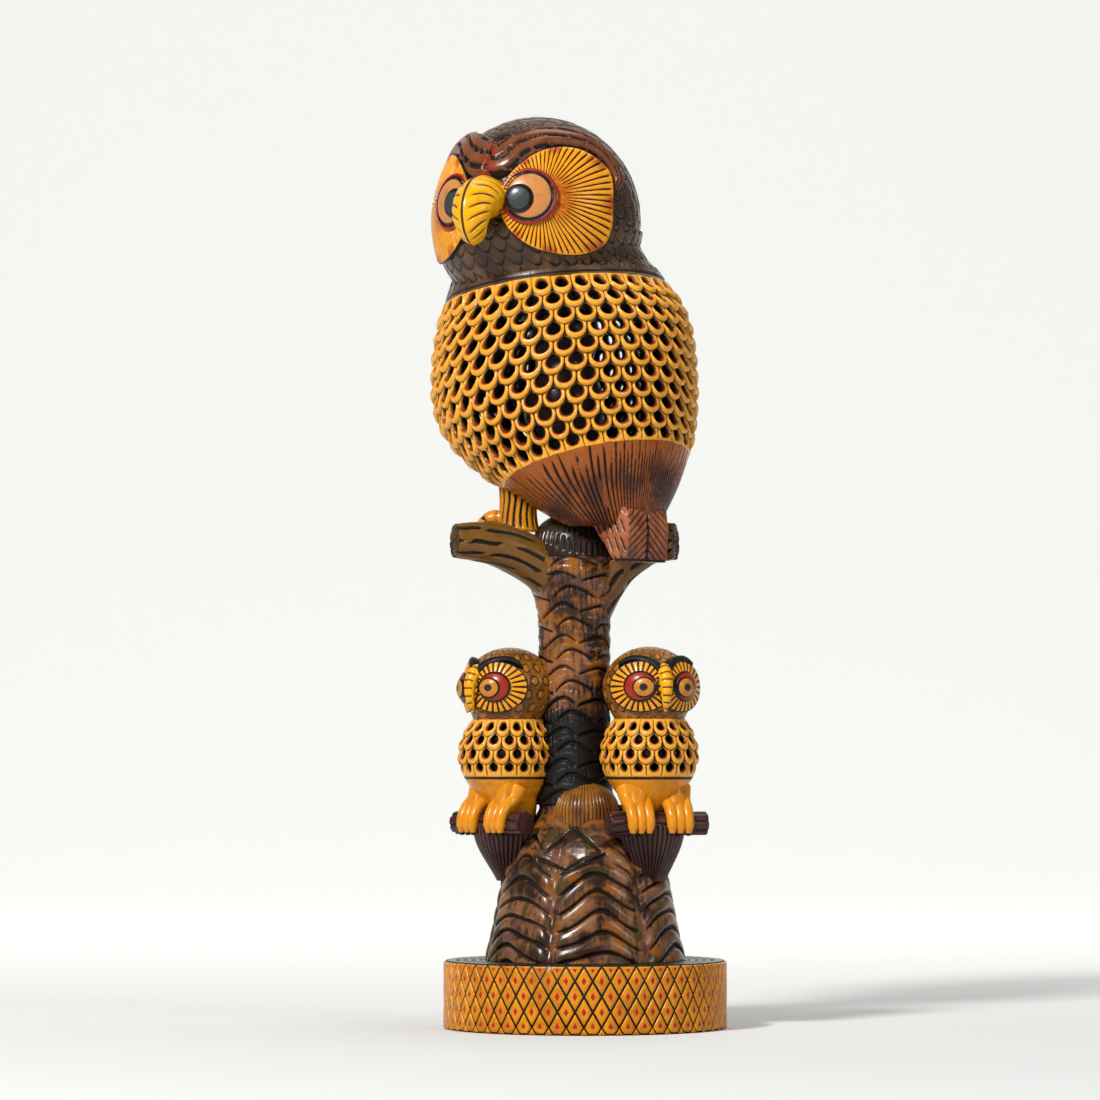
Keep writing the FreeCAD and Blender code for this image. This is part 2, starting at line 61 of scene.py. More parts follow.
# ---------------------------------------------------------------- sizes and colours
class OwlSizes(bpy.types.PropertyGroup):
    """What a carver would change on the figurine."""

    lattice_holes: IntProperty(
        name="Lattice Holes", description="Holes in one row of the big lattice", default=36)
    lattice_rows: IntProperty(name="Lattice Rows", description="Rows of holes in the big lattice", default=11)
    lattice_wall: FloatProperty(
        name="Lattice Wall", description="Thickness of the big lattice", default=5.0 * MM, subtype="DISTANCE")
    lip: FloatProperty(
        name="Lip", description="How far a scale's lip stands out", default=0.9 * MM, subtype="DISTANCE")
    owlet_holes: IntProperty(name="Owlet Holes", description="Holes around a small owl", default=18)
    owlet_rows: IntProperty(name="Owlet Rows", description="Rows of holes on a small owl", default=4)
    feather_columns: IntProperty(
        name="Feathers Around", description="Feathers in one ring of the head", default=38)
    feather_rows: IntProperty(name="Feather Rings", description="Rings of feathers on the head", default=14)
    groove: FloatProperty(
        name="Groove", description="Depth of the cut grooves", default=0.8 * MM, subtype="DISTANCE")
    diamonds: IntProperty(name="Diamonds", description="Diamonds around the base", default=51)
    diamond_gap: FloatProperty(
        name="Diamond Gap", description="Width of the lines between diamonds", default=0.9 * MM,
        subtype="DISTANCE")


def colour(name, text, *rgb):
    return FloatVectorProperty(name=name, description=text, default=rgb, subtype="COLOR", size=3, min=0, max=1)


class OwlColours(bpy.types.PropertyGroup):
    """The lacquers."""

    gold: colour("Gold", "Rubbed crests of the lattice and the faces", 0.78, 0.36, 0.030)
    amber: colour("Amber", "Orange ground under the gold", 0.44, 0.135, 0.006)
    russet: colour("Russet", "Red brown of the belly and tail", 0.155, 0.028, 0.007)
    umber: colour("Umber", "Dark brown of the tree", 0.040, 0.014, 0.007)
    # Also the colour of painted shade, where the cut mark darkens the trunk's foot and the tops of the lattice
    # scales under the rims above.
    black_and_shade: colour("Soot", "Stain in the cuts", 0.0035, 0.002, 0.0015)
    slate: colour("Slate", "Grey brown of the feathers", 0.062, 0.030, 0.014)
    yellow: colour("Yellow", "Beaks and feet", 0.78, 0.37, 0.002)
    red: colour("Red", "Dots and eye rings", 0.26, 0.006, 0.003)
    moss: colour("Moss", "Green of the base's top", 0.006, 0.010, 0.004)
    iris: colour("Iris", "Tan of the eyes", 0.50, 0.20, 0.055)
    pupil: colour("Pupil", "Grey of the pupils", 0.035, 0.040, 0.042)
    plum: colour("Plum", "Purple brown of the perches", 0.045, 0.012, 0.012)


# ---------------------------------------------------------------- materials
class Value:
    """A socket in a material's tree. Python's operators on it add Math nodes."""

    def __init__(self, paint, socket):
        self.paint, self.socket = paint, socket

    def _math(self, operation, *values):
        return self.paint.node("ShaderNodeMath", {"operation": operation}, list(values))

    def __add__(self, other):
        return self._math("ADD", self, other)

    def __sub__(self, other):
        return self._math("SUBTRACT", self, other)

    def __rsub__(self, other):
        return self._math("SUBTRACT", other, self)

    def __mul__(self, other):
        return self._math("MULTIPLY", self, other)

    __radd__ = __add__
    __rmul__ = __mul__

    def clamp(self, low=0.0, high=1.0):
        return self.paint.node("ShaderNodeClamp", {}, [self, low, high])

    def steps(self, low, high):
        """0 below low, 1 above high, smooth between."""
        return self.paint.node("ShaderNodeMapRange", {"interpolation_type": "SMOOTHSTEP"}, [self, low, high])


class Paint:
    """One lacquered finish, built as a node tree."""

    def __init__(self, name):
        self.material = bpy.data.materials.new(name)
        self.material.use_nodes = True
        self.tree = self.material.node_tree
        self.tree.nodes.clear()
        self.shader = self.tree.nodes.new("ShaderNodeBsdfPrincipled")
        output = self.tree.nodes.new("ShaderNodeOutputMaterial")
        self.tree.links.new(self.shader.outputs[0], output.inputs[0])
        self.place = self.node("ShaderNodeTexCoord", {}, [], "Object")

    def node(self, kind, settings, values, output=0):
        """Adds a node: its settings first, then its sockets by place or by name."""
        node = self.tree.nodes.new(kind)
        for key, setting in settings.items():
            setattr(node, key, setting)
        pairs = values.items() if isinstance(values, dict) else enumerate(values)
        for key, value in pairs:
            self.feed(node.inputs[key], value)
        return Value(self, node.outputs[output])

    def feed(self, socket, value):
        if isinstance(value, Value):
            self.tree.links.new(value.socket, socket)
        elif value is not None:
            wide = hasattr(socket.default_value, "__len__")
            if wide and len(value) == 3 and len(socket.default_value) == 4:
                value = (*value, 1.0)
            socket.default_value = value

    def mark(self, name):
        """A carving mark kept on the mesh, from 0 to 1."""
        return self.node("ShaderNodeAttribute", {"attribute_name": name}, [], "Fac")

    def mix(self, amount, first, second):
        return self.node("ShaderNodeMix", {"data_type": "RGBA"}, {0: amount, 6: first, 7: second}, 2)

    def noise(self, scale, detail=3.0, stretch=(1, 1, 1), rough=0.55):
        where = self.node("ShaderNodeVectorMath", {"operation": "MULTIPLY"}, [self.place, stretch])
        return self.node("ShaderNodeTexNoise", {}, {"Vector": where, "Scale": scale, "Detail": detail,
                                                    "Roughness": rough})

    def finish(self, base, rough, relief=None, lift=0.0003, coat=0.11):
        self.feed(self.shader.inputs["Base Color"], base)
        self.feed(self.shader.inputs["Roughness"], rough)
        self.shader.inputs["Coat Weight"].default_value = coat
        self.shader.inputs["Specular IOR Level"].default_value = 0.24
        self.shader.inputs["Coat Roughness"].default_value = 0.16
        if relief is not None:
            bump = self.node("ShaderNodeBump", {}, {"Strength": 0.5, "Distance": lift, "Height": relief})
            self.feed(self.shader.inputs["Normal"], bump)
        return self.material


def lacquer(name, ground, rubbed, patches=(), red=None, streak=(1, 1, 0.16), stain=None, contrast=1.0):
    """Stained wood: a streaky ground, rubbed through on the crests with a painted highlight on them, patched,
    and dark in the cuts, where the cut mark also carries painted shade.
    """
    colours = bpy.context.scene.owl_colours
    paint = Paint(name)
    fine = paint.noise(620, 4, streak)
    broad = paint.noise(95, 3, (1, 1, 0.7))
    wear = paint.noise(210, 4)
    deep = [c * 0.42 for c in ground]
    base = paint.mix((fine - 0.5) * 1.3 * contrast + 0.42, ground, deep)
    base = paint.mix((broad * 0.8 + fine * 0.4).steps(0.52, 0.72) * 0.75, base, rubbed)
    for number, patch in enumerate(patches):
        spots = paint.noise(60 + 22 * number, 2, (1.0 + 0.2 * number, 1, 1.4))
        base = paint.mix(spots.steps(0.56, 0.66) * 0.8, base, patch)
    crest = (paint.mark("crest") + (wear - 0.5) * 0.55).steps(0.30, 0.85)
    base = paint.mix(crest, base, rubbed)
    if red:
        base = paint.mix((paint.mark("tint") * 1.25 * (wear + 0.35)).clamp(), base, red)
    # Painted highlight: a lighter copy of the rubbed colour laid over the crests.
    painted_highlight = (crest * (fine + 0.1)).steps(0.55, 0.95) * 0.5
    base = paint.mix(painted_highlight, base, [min(1.0, c * 1.45 + 0.015) for c in rubbed])
    # Dark in the cuts: the cut mark holds carved lines and, on the trunk's foot and under the lattice's scale
    # rims, painted shade.
    cut = (paint.mark("cut") + (wear - 0.5) * 0.35).steps(0.25, 0.80)
    base = paint.mix(cut, base, stain or colours.black_and_shade)
    rough = 0.27 + (wear - 0.5) * 0.22 + cut * 0.3
    return paint.finish(base, rough, fine * 0.7 + wear * 0.5)


def ringed(name, bands):
    """Paint in rings about an eye: bands are (how far out, colour), from the middle outwards."""
    paint = Paint(name)
    reach = paint.mark("ring")
    wear = paint.noise(260, 3)
    base = bands[0][1]
    for start, shade in bands[1:]:
        edge = (reach + (wear - 0.5) * 0.03).steps(start - 0.018, start + 0.018)
        base = paint.mix(edge, base, shade)
    base = paint.mix((wear.steps(0.5, 0.72)) * 0.35, base, [c * 0.45 for c in bands[0][1]])
    base = paint.mix(paint.mark("cut"), base, bpy.context.scene.owl_colours.black_and_shade)
    return paint.finish(base, 0.26 + wear * 0.12, wear, coat=0.2)


def palette():
    """All the figurine's finishes by name."""
    c = bpy.context.scene.owl_colours
    mauve = (0.12, 0.050, 0.038)
    tan = (0.34, 0.13, 0.040)
    olive = (0.050, 0.036, 0.006)
    return {
        "jali": lacquer("jali_lacquer", c.amber, c.gold, red=c.red, streak=(1, 1, 0.5)),
        "belly": lacquer("belly_lacquer", (0.090, 0.019, 0.005), (0.29, 0.072, 0.006), [(0.050, 0.016, 0.010)]),
        "tail": lacquer("tail_lacquer", c.russet, (0.40, 0.13, 0.055), [(0.10, 0.045, 0.030)]),
        "feather": lacquer("feather_lacquer", c.slate, (0.115, 0.062, 0.032), [(0.062, 0.022, 0.006)],
                           contrast=0.8),
        "brow": lacquer("brow_lacquer", (0.070, 0.020, 0.008), (0.19, 0.055, 0.016), [c.slate], red=c.red),
        "face": lacquer("face_lacquer", (0.50, 0.145, 0.003), (0.72, 0.28, 0.005), red=c.red, streak=(1, 1, 1)),
        "beak": lacquer("beak_lacquer", (0.66, 0.25, 0.002), c.yellow, streak=(1, 1, 1)),
        "foot": lacquer("foot_lacquer", (0.42, 0.115, 0.003), (0.64, 0.23, 0.006)),
        "leg": lacquer("leg_lacquer", (0.30, 0.10, 0.005), (0.52, 0.20, 0.006), [c.umber]),
        "bark": lacquer("bark_lacquer", c.umber, tan, [mauve, (0.26, 0.085, 0.006)]),
        "root": lacquer("root_lacquer", (0.034, 0.013, 0.006), (0.28, 0.12, 0.045),
                        [mauve, (0.24, 0.075, 0.006), olive]),
        "branch": lacquer("branch_lacquer", (0.034, 0.018, 0.005), (0.15, 0.064, 0.010),
                          [olive, (0.03, 0.012, 0.005)]),
        "crown": lacquer("crown_lacquer", (0.016, 0.008, 0.005), (0.045, 0.022, 0.011)),
        "perch": lacquer("perch_lacquer", c.plum, (0.085, 0.026, 0.018), [c.umber]),
        "sawn": lacquer("sawn_lacquer", (0.16, 0.055, 0.009), (0.34, 0.13, 0.012)),
        "inside": lacquer("inside_stain", (0.022, 0.008, 0.005), (0.045, 0.016, 0.009)),
        "base": lacquer("base_lacquer", (0.48, 0.155, 0.002), (0.68, 0.26, 0.004), red=(0.42, 0.008, 0.004),
                        streak=(1, 1, 1), contrast=0.5),
        "moss": lacquer("moss_lacquer", c.moss, (0.022, 0.026, 0.012)),
        "black": lacquer("black_line", c.black_and_shade, (0.009, 0.007, 0.006)),
        "eye": ringed("eye_paint", [(0, c.iris), (0.76, c.black_and_shade), (0.90, c.red), (0.985, (0.16, 0.02, 0.008))]),
        "pupil": ringed("pupil_paint", [(0, c.pupil), (0.72, c.black_and_shade), (0.97, (0.16, 0.02, 0.008))]),
        "owlet_eye": ringed("owlet_eye_paint", [(0, (0.30, 0.018, 0.004)), (0.86, c.black_and_shade)]),
        "owlet_iris": ringed("owlet_iris_paint", [(0, (0.015, 0.015, 0.018)), (0.34, (0.50, 0.18, 0.015)),
                                                   (0.84, c.black_and_shade)]),
    }


# ---------------------------------------------------------------- meshes
def solid(name, points, faces, marks, material):
    """A mesh object with its carving marks as attributes."""
    mesh = bpy.data.meshes.new(name)
    mesh.from_pydata(np.asarray(points).reshape(-1, 3).tolist(), [], faces)
    for mark, amounts in marks.items():
        layer = mesh.attributes.new(mark, "FLOAT", "POINT")
        layer.data.foreach_set("value", np.asarray(amounts, dtype=np.float32).ravel())
    mesh.materials.append(material)
    mesh.polygons.foreach_set("use_smooth", [True] * len(mesh.polygons))
    mesh.validate()
    thing = bpy.data.objects.new(name, mesh)
    bpy.context.collection.objects.link(thing)
    return thing


def grid_faces(rows, columns, closed, start=0):
    """Quads of a grid whose rows climb and whose columns run anticlockwise."""
    row = np.arange(rows - 1)[:, None] * columns
    column = np.arange(columns if closed else columns - 1)[None, :]
    after = (column + 1) % columns
    quads = np.stack([row + column, row + after, row + columns + after, row + columns + column], -1)
    return (quads.reshape(-1, 4) + start).tolist()


def sleeve(name, points, marks, material):
    """A closed solid from rings of points, lowest ring first, with both ends capped."""
    rows, columns = points.shape[:2]
    faces = grid_faces(rows, columns, True)
    ends = np.stack([points[0].mean(0), points[-1].mean(0)])
    low, high, last = rows * columns, rows * columns + 1, (rows - 1) * columns
    for c in range(columns):
        after = (c + 1) % columns
        faces.append([low, after, c])
        faces.append([high, last + c, last + after])
    whole = np.concatenate([points.reshape(-1, 3), ends])
    a, b, c, d = (points[:-1], np.roll(points, -1, 1)[:-1], np.roll(points, -1, 1)[1:], points[1:])
    centre = whole.mean(0)
    wedges = (np.cross(b - centre, c - centre) + np.cross(c - centre, d - centre)) * (a - centre)
    if wedges.sum() < 0:
        faces = [face[::-1] for face in faces]
    full = {key: np.concatenate([np.broadcast_to(mark, (rows, columns)).ravel(),
                                 [np.mean(np.broadcast_to(mark, (rows, columns))[0]),
                                  np.mean(np.broadcast_to(mark, (rows, columns))[-1])]])
            for key, mark in marks.items()}
    return solid(name, whole, faces, full, material)


def join(name, things):
    """One object from several, with their materials kept."""
    bpy.ops.object.select_all(action="DESELECT")
    for thing in things:
        thing.select_set(True)
    bpy.context.view_layer.objects.active = things[0]
    bpy.ops.object.join()
    things[0].name = name
    return things[0]


def show(piece, slot, *nodes):
    """Gives a finished piece its body and hides the solids that it stands for. Its slot is not used."""
    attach(piece, "root")
    if nodes:
        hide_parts(*nodes)
    return piece


def stain(node, finish):
    """Gives a CAD node that stays in place its finish."""
    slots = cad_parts[node].data.materials
    slots.clear()
    slots.append(finish)


def wave(*parts):
    """Smooth, repeatable unevenness between about -1 and 1, from sums of phases."""
    total = 0
    for number, part in enumerate(parts):
        total = total + np.sin(part + 1.7 * number) * np.cos(0.61 * part - 0.9 * number)
    return total / len(parts)


def ridge(distance, width):
    """1 at distance 0, falling smoothly to 0 about a width away."""
    return np.exp(-(distance / width) ** 2)


def past(value, low, soft):
    """0 below low, rising evenly to 1 over soft."""
    return np.clip((value - low) / soft, 0, 1)


def between(value, low, high, soft):
    """1 between low and high, with soft ends."""
    rise = 1 / (1 + np.exp(-np.clip((value - low) / soft, -40, 40)))
    fall = 1 / (1 + np.exp(-np.clip((high - value) / soft, -40, 40)))
    return rise * fall


def around(columns):
    """Even turns, once round."""
    return np.arange(columns) / columns * TAU


def way(bearing):
    """Unit vectors on the plan, for bearings counted from the front towards +X."""
    return np.stack([np.sin(bearing), -np.cos(bearing), np.zeros_like(bearing)], -1)


class Turned:
    """The round, leaning form of some CAD nodes: a middle and a radius at each height."""

    def __init__(self, nodes, low, high, levels=40):
        form = bmesh.new()
        for node in nodes:
            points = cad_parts[node].data.vertices
            for number in range(0, len(points), max(1, len(points) // 5000)):
                form.verts.new(points[number].co)
        bmesh.ops.convex_hull(form, input=form.verts)
        tree = BVHTree.FromBMesh(form)
        form.free()
        boxes = [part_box(node) for node in nodes]
        spot = [np.mean([(b[0][k] + b[1][k]) / 2 for b in boxes]) for k in (0, 1)]
        self.z = np.linspace(low, high, levels)
        found = []
        for z in self.z[::-1]:
            for _ in range(3):
                reach = []
                for side in ((1, 0), (-1, 0), (0, 1), (0, -1)):
                    start = Vector((spot[0] + side[0], spot[1] + side[1], z))
                    hit = tree.ray_cast(start, Vector((-side[0], -side[1], 0)))[0]
                    reach.append(hit or Vector((*spot, z)))
                spot = [(reach[0].x + reach[1].x) / 2, (reach[2].y + reach[3].y) / 2]
            found.append((*spot, (reach[0].x - reach[1].x + reach[2].y - reach[3].y) / 4))
        self.x, self.y, self.r = np.array(found[::-1]).T
        self.slope = np.gradient(self.r, self.z)

    def at(self, z):
        return [np.interp(z, self.z, values) for values in (self.x, self.y, self.r, self.slope)]

    def point(self, bearing, z, out=0.0):
        """Points on the form, moved outwards along its normal."""
        x, y, r, slope = self.at(z)
        lean = 1 / np.sqrt(1 + slope ** 2)
        outwards = way(bearing)
        points = outwards * (r + out * lean)[..., None]
        points[..., 0] += x
        points[..., 1] += y
        points[..., 2] = z - out * slope * lean
        return points


class Stand:
    """A spot on the plan with a facing, for measuring forward of it and to the carved bird's own left."""

    def __init__(self, middle, bearing):
        self.middle = np.array([middle[0], middle[1], 0.0])
        self.ahead = way(np.array(bearing))
        self.left = way(np.array(bearing + math.pi / 2))

    def point(self, ahead, left, z):
        ahead, left, z = np.broadcast_arrays(ahead, left, z)
        points = self.middle + self.ahead * ahead[..., None] + self.left * left[..., None]
        points[..., 2] = z
        return points


def tube(path, radii, columns, relief=None, start=None, stretch=None):
    """Rings of points along a path. relief(along, turn) gives each point's height and marks."""
    path = np.asarray(path, dtype=float)
    ahead = np.gradient(path, axis=0)
    ahead /= np.linalg.norm(ahead, axis=1)[:, None]
    if start is None:
        start = (1.0, 0.0, 0.0) if abs(ahead[0][2]) > 0.9 else (0.0, 0.0, 1.0)
    side = np.array(start, dtype=float)
    turn = around(columns)
    rows = []
    for k in range(len(path)):
        side = side - ahead[k] * side.dot(ahead[k])
        side /= np.linalg.norm(side)
        over = np.cross(ahead[k], side)
        rows.append(np.cos(turn)[:, None] * side + np.sin(turn)[:, None] * over)
    rows = np.array(rows)
    along = np.linspace(0, 1, len(path))[:, None] + 0 * turn[None, :]
    spin = turn[None, :] + 0 * along
    height, marks = relief(along, spin) if relief else (0.0, {})
    reach = np.asarray(radii)[:, None] + height
    if stretch is not None:
        reach = reach * stretch(spin)
    return path[:, None, :] + rows * reach[..., None], marks


def carved(cut, crest):
    """The marks of a cut, with the ground beside it rubbed by a share."""
    return {"cut": cut, "crest": crest * (1 - cut)}


def upright(heights, middle=0.0):
    """A path straight up through a spot."""
    return middle + np.stack([0 * heights, 0 * heights, heights], -1)


def taper(count, places, widths):
    """Radii along a path, from widths in millimetres at some shares of it."""
    return np.interp(np.linspace(0, 1, count), places, widths) * MM


def rod(name, path, radii, columns, relief, material, **how):
    """A closed solid turned along a path."""
    return sleeve(name, *tube(path, radii, columns, relief, **how), material)


def smooth_path(points, count):
    """A Catmull-Rom line through points of any width, resampled."""
    points = np.asarray(points, dtype=float)
    ends = np.vstack([2 * points[0] - points[1], points, 2 * points[-1] - points[-2]])
    spots = np.linspace(0, len(points) - 1, count)
    base = np.minimum(spots.astype(int), len(points) - 2)
    t = (spots - base)[:, None]
    a, b, c, d = (ends[base + k] for k in range(4))
    return 0.5 * (2 * b + (c - a) * t + (2 * a - 5 * b + 4 * c - d) * t ** 2 + (3 * b - a - 3 * c + d) * t ** 3)


# ---------------------------------------------------------------- wrapping flat strips round a form
def wrap_tree():
    """Geometry Nodes that repeat a flat strip round a form and bend it on to the form's own skin."""
    tree = bpy.data.node_groups.new("WrapStrips", "GeometryNodeTree")
    tree.interface.new_socket("Geometry", in_out="OUTPUT", socket_type="NodeSocketGeometry")
    wanted = (("Geometry", "Geometry"), ("Strip", "Object"), ("Strips", "Int"), ("Unevenness", "Float"),
              ("Seed", "Int"), ("Weld", "Float"), ("Finish", "Material"))
    for label, kind in wanted:
        tree.interface.new_socket(label, in_out="INPUT", socket_type=f"NodeSocket{kind}")
    source = tree.nodes.new("NodeGroupInput")
    result = tree.nodes.new("NodeGroupOutput")

    def add(kind, settings=None, **values):
        node = tree.nodes.new(kind)
        for key, setting in (settings or {}).items():
            setattr(node, key, setting)
        for key, value in values.items():
            free = [s for s in node.inputs if s.enabled and not s.is_linked]
            socket = [s for s in free if s.name.replace(" ", "") == key][0]
            if isinstance(value, bpy.types.NodeSocket):
                tree.links.new(value, socket)
            else:
                socket.default_value = value
        return node

    def out(node, name=None):
        return [s for s in node.outputs if s.enabled and (name is None or s.name == name)][0]

    index = out(add("GeometryNodeInputIndex"))
    points = add("GeometryNodePoints", Count=source.outputs["Strips"],
                 Position=out(add("ShaderNodeCombineXYZ", X=index)))
    strip = add("GeometryNodeObjectInfo", Object=source.outputs["Strip"])
    placed = add("GeometryNodeInstanceOnPoints", Points=out(points), Instance=out(strip, "Geometry"))
    real = add("GeometryNodeRealizeInstances", Geometry=out(placed))
    flat = add("ShaderNodeSeparateXYZ", Vector=out(add("GeometryNodeInputPosition")))
    share = add("ShaderNodeMath", {"operation": "DIVIDE"}, Value=flat.outputs["X"])
    tree.links.new(source.outputs["Strips"], share.inputs[1])
    noise = add("ShaderNodeTexNoise", {"noise_dimensions": "4D"}, W=source.outputs["Seed"], Scale=130.0,
                Detail=1.0)
    drift = add("ShaderNodeVectorMath", {"operation": "SUBTRACT"}, Vector=out(noise, "Color"))
    drift.inputs[1].default_value = (0.5, 0.5, 0.5)
    drift = add("ShaderNodeVectorMath", {"operation": "SCALE"}, Vector=out(drift),
                Scale=source.outputs["Unevenness"])
    spot = add("ShaderNodeCombineXYZ", X=out(share), Y=flat.outputs["Y"])
    chart = out(add("GeometryNodeInputNamedAttribute", {"data_type": "FLOAT_VECTOR"}, Name="chart"))

    def sample(value):
        node = add("GeometryNodeSampleUVSurface", {"data_type": "FLOAT_VECTOR"},
                   Mesh=source.outputs["Geometry"], Value=value)
        uv = [s for s in node.inputs if s.enabled and not s.is_linked and s.type == "VECTOR"]
        tree.links.new(chart, uv[0])
        tree.links.new(out(spot), uv[1])
        return out(node, "Value")

    skin = sample(out(add("GeometryNodeInputPosition")))
    normal = sample(out(add("GeometryNodeInputNormal")))
    lift = add("ShaderNodeVectorMath", {"operation": "SCALE"}, Vector=normal, Scale=flat.outputs["Z"])
    bent = add("ShaderNodeVectorMath", {"operation": "ADD"}, Vector=skin)
    tree.links.new(out(lift), bent.inputs[1])
    moved = add("GeometryNodeSetPosition", Geometry=out(real), Position=out(bent))
    rough = add("GeometryNodeSetPosition", Geometry=out(moved), Offset=out(drift))
    merged = add("GeometryNodeMergeByDistance", Geometry=out(rough), Distance=source.outputs["Weld"])
    painted = add("GeometryNodeSetMaterial", Geometry=out(merged), Material=source.outputs["Finish"])
    tree.links.new(out(painted), result.inputs[0])
    return tree


def wrapped(name, form, strip, strips, finish, unevenness=0.0, seed=1, weld=0.0):
    """Runs the wrap tree and returns its result as a plain mesh object. Points closer than weld become one."""
    tree = bpy.data.node_groups.get("WrapStrips") or wrap_tree()
    modifier = form.modifiers.new("wrap", "NODES")
    modifier.node_group = tree
    chosen = {"Strip": strip, "Strips": strips, "Unevenness": unevenness, "Seed": seed, "Weld": weld,
              "Finish": finish}
    for item in tree.interface.items_tree:
        if item.in_out == "INPUT" and item.name in chosen:
            modifier[item.identifier] = chosen[item.name]
    bpy.context.view_layer.update()
    graph = bpy.context.evaluated_depsgraph_get()
    mesh = bpy.data.meshes.new_from_object(form.evaluated_get(graph))
    mesh.name = name
    mesh.polygons.foreach_set("use_smooth", [True] * len(mesh.polygons))
    thing = bpy.data.objects.new(name, mesh)
    bpy.context.collection.objects.link(thing)
    for spare in (form, strip):
        bpy.data.objects.remove(spare)
    return thing


def chart(points, across, down):
    """A flat-charted skin for the wrap: across and down are each point's place on the chart."""
    rows, columns = points.shape[:2]
    faces = grid_faces(rows, columns, False)
    thing = solid("form", points, faces, {}, None)
    layer = thing.data.attributes.new("chart", "FLOAT_VECTOR", "POINT")
    spots = np.stack([across, down, 0 * across], -1)
    layer.data.foreach_set("vector", spots.astype(np.float32).ravel())
    return thing


ARC = (0.0, 0.2, 0.35, 0.45, 0.5)


class Scale:
    """The outline of one scale among its neighbours, in pitches across and rows up.

    The scale's own rim is an arc that hangs from shoulders to a toe. The rims of the two scales above
    bound its top, and short sides part it from its neighbours.
    """

    def __init__(self, shoulder=-0.10, toe=-0.75):
        self.shoulder, self.toe = shoulder, toe

    def rim(self, across):
        return self.shoulder + (self.toe - self.shoulder) * math.sqrt(max(0.0, 1 - (2 * across) ** 2))

    def outline(self, top=None, foot=None):
        """Points anticlockwise from the top cusp, each with its kind: top, side or rim."""
        points = []
        for a in reversed(ARC):
            points.append((a - 0.5, top if top is not None else 1 + self.rim(a), "top"))
        points.append((-0.5, self.shoulder, "side"))
        own = [-a for a in reversed(ARC)] + list(ARC[1:])
        for a in own if foot is not None else own[1:-1]:
            points.append((a, foot if foot is not None else self.rim(a), "rim"))
        points.append((0.5, self.shoulder, "side"))
        for a in list(ARC)[:-1]:
            points.append((0.5 - a, top if top is not None else 1 + self.rim(-a), "top"))
        return points


def lattice_strip(rows, margin, pitch, row, bore, wall, lip, scale=Scale()):
    """One column of a pierced lattice, every other scale half a pitch over. Lengths are in metres.

    The strip runs down from 0 to -1. Its scales share their edges, so strips side by side close up.
    """
    points, marks, faces, whole = [], {"cut": [], "crest": [], "tint": []}, [], rows - 1 + 2 * margin
    for number in range(rows):
        top = margin if number == 0 else None
        foot = -margin if number == rows - 1 else None
        outline = scale.outline(top, foot)
        count, first = len(outline), len(points)
        middle = (0.5 + 0.5 * (number % 2), -(margin + number))
        rise = 0.06
        layers = []
        for u, v, kind in outline:
            angle = math.atan2(v * row, u * pitch)
            hole = np.array([bore * math.cos(angle) / pitch, bore * 1.04 * math.sin(angle) / row + rise])
            edge = np.array([u, v])
            low = max(0.0, min(1.0, (0.42 - v) / 0.95))
            proud = low * low * (3 - 2 * low)
            open_top = kind == "top" and top is not None
            open_foot = kind != "top" and foot is not None
            if open_top or (open_foot and v <= -margin + 0.01):
                heights = (0.0, 0.05 * lip, 0.15 * lip, -0.5 * lip)
                shades = ((0.2, 0.4, 0), (0, 0.7, 0), (0, 0.9, 0.1), (0.35, 0.4, 0.3))
            else:
                heights = [share * lip for share in (-1.8, -1.0 + 1.4 * proud, -0.9 + 1.9 * proud,
                                                     -1.5 + 1.3 * proud)]
                # Painted shade: the top of each scale, tucked under the rims of the scales above, is darkened
                # through the cut mark and loses its crest.
                under = max(0.0, min(1.0, (v - 0.30) / 0.35))
                shades = ((1, 0, 0), (0.85 * under, 0.75 - 0.6 * under, 0),
                          (0.7 * under, 1 - 0.8 * under, 0.2 * proud), (0.45 + 0.4 * under, 0.25, 0.9 * proud))
            gap = np.linalg.norm((edge - hole) * (pitch, row))
            inner = min(0.45, 0.75 * MM / max(gap, 1e-6))
            outer = max(0.55, 1 - 0.45 * MM / max(gap, 1e-6))
            layers.append([
                (edge, heights[0], shades[0]), (hole + (edge - hole) * outer, heights[1], shades[1]),
                (hole + (edge - hole) * inner, heights[2], shades[2]), (hole, heights[3], shades[3]),
                (hole * 0.93, -0.45 * wall, (0.75, 0, 0.1)), (hole * 0.93, -wall, (1, 0, 0)),
                (edge, -wall, (1, 0, 0))])
        for ring in range(7):
            for layer in layers:
                spot, height, shade = layer[ring]
                points.append((middle[0] + spot[0], (middle[1] + spot[1]) / whole, height))
                for key, amount in zip(("cut", "crest", "tint"), shade):
                    marks[key].append(amount)
        for ring in range(6):
            for k in range(count):
                a, b = first + ring * count + k, first + ring * count + (k + 1) % count
                faces.append([a, b, b + count, a + count])
        for k in range(count):
            after = (k + 1) % count
            both = [outline[k], outline[after]]
            at_top = top is not None and all(abs(p[1] - margin) < 1e-6 for p in both)
            at_foot = foot is not None and all(abs(p[1] + margin) < 1e-6 for p in both)
            if at_top or at_foot:
                faces.append([first + 6 * count + k, first + 6 * count + after, first + after, first + k])
    return solid("strip", points, faces, marks, None)


def plate(points, faces, marks, middle, outline, rings):
    """Adds a closed plate: rings are (share of the way in, height, marks), from the foot upwards."""
    first, count = len(points), len(outline)
    for share, height, shade in rings:
        for u, v in outline:
            points.append((middle[0] + u * share, middle[1] + v * share, height))
            for key, amount in shade.items():
                marks[key].append(amount)
    for ring in range(len(rings) - 1):
        for k in range(count):
            a, b = first + ring * count + k, first + ring * count + (k + 1) % count
            faces.append([a, b, b + count, a + count])
    last = first + (len(rings) - 1) * count
    faces.append([last + k for k in range(count)])
    faces.append([first + k for k in reversed(range(count))])


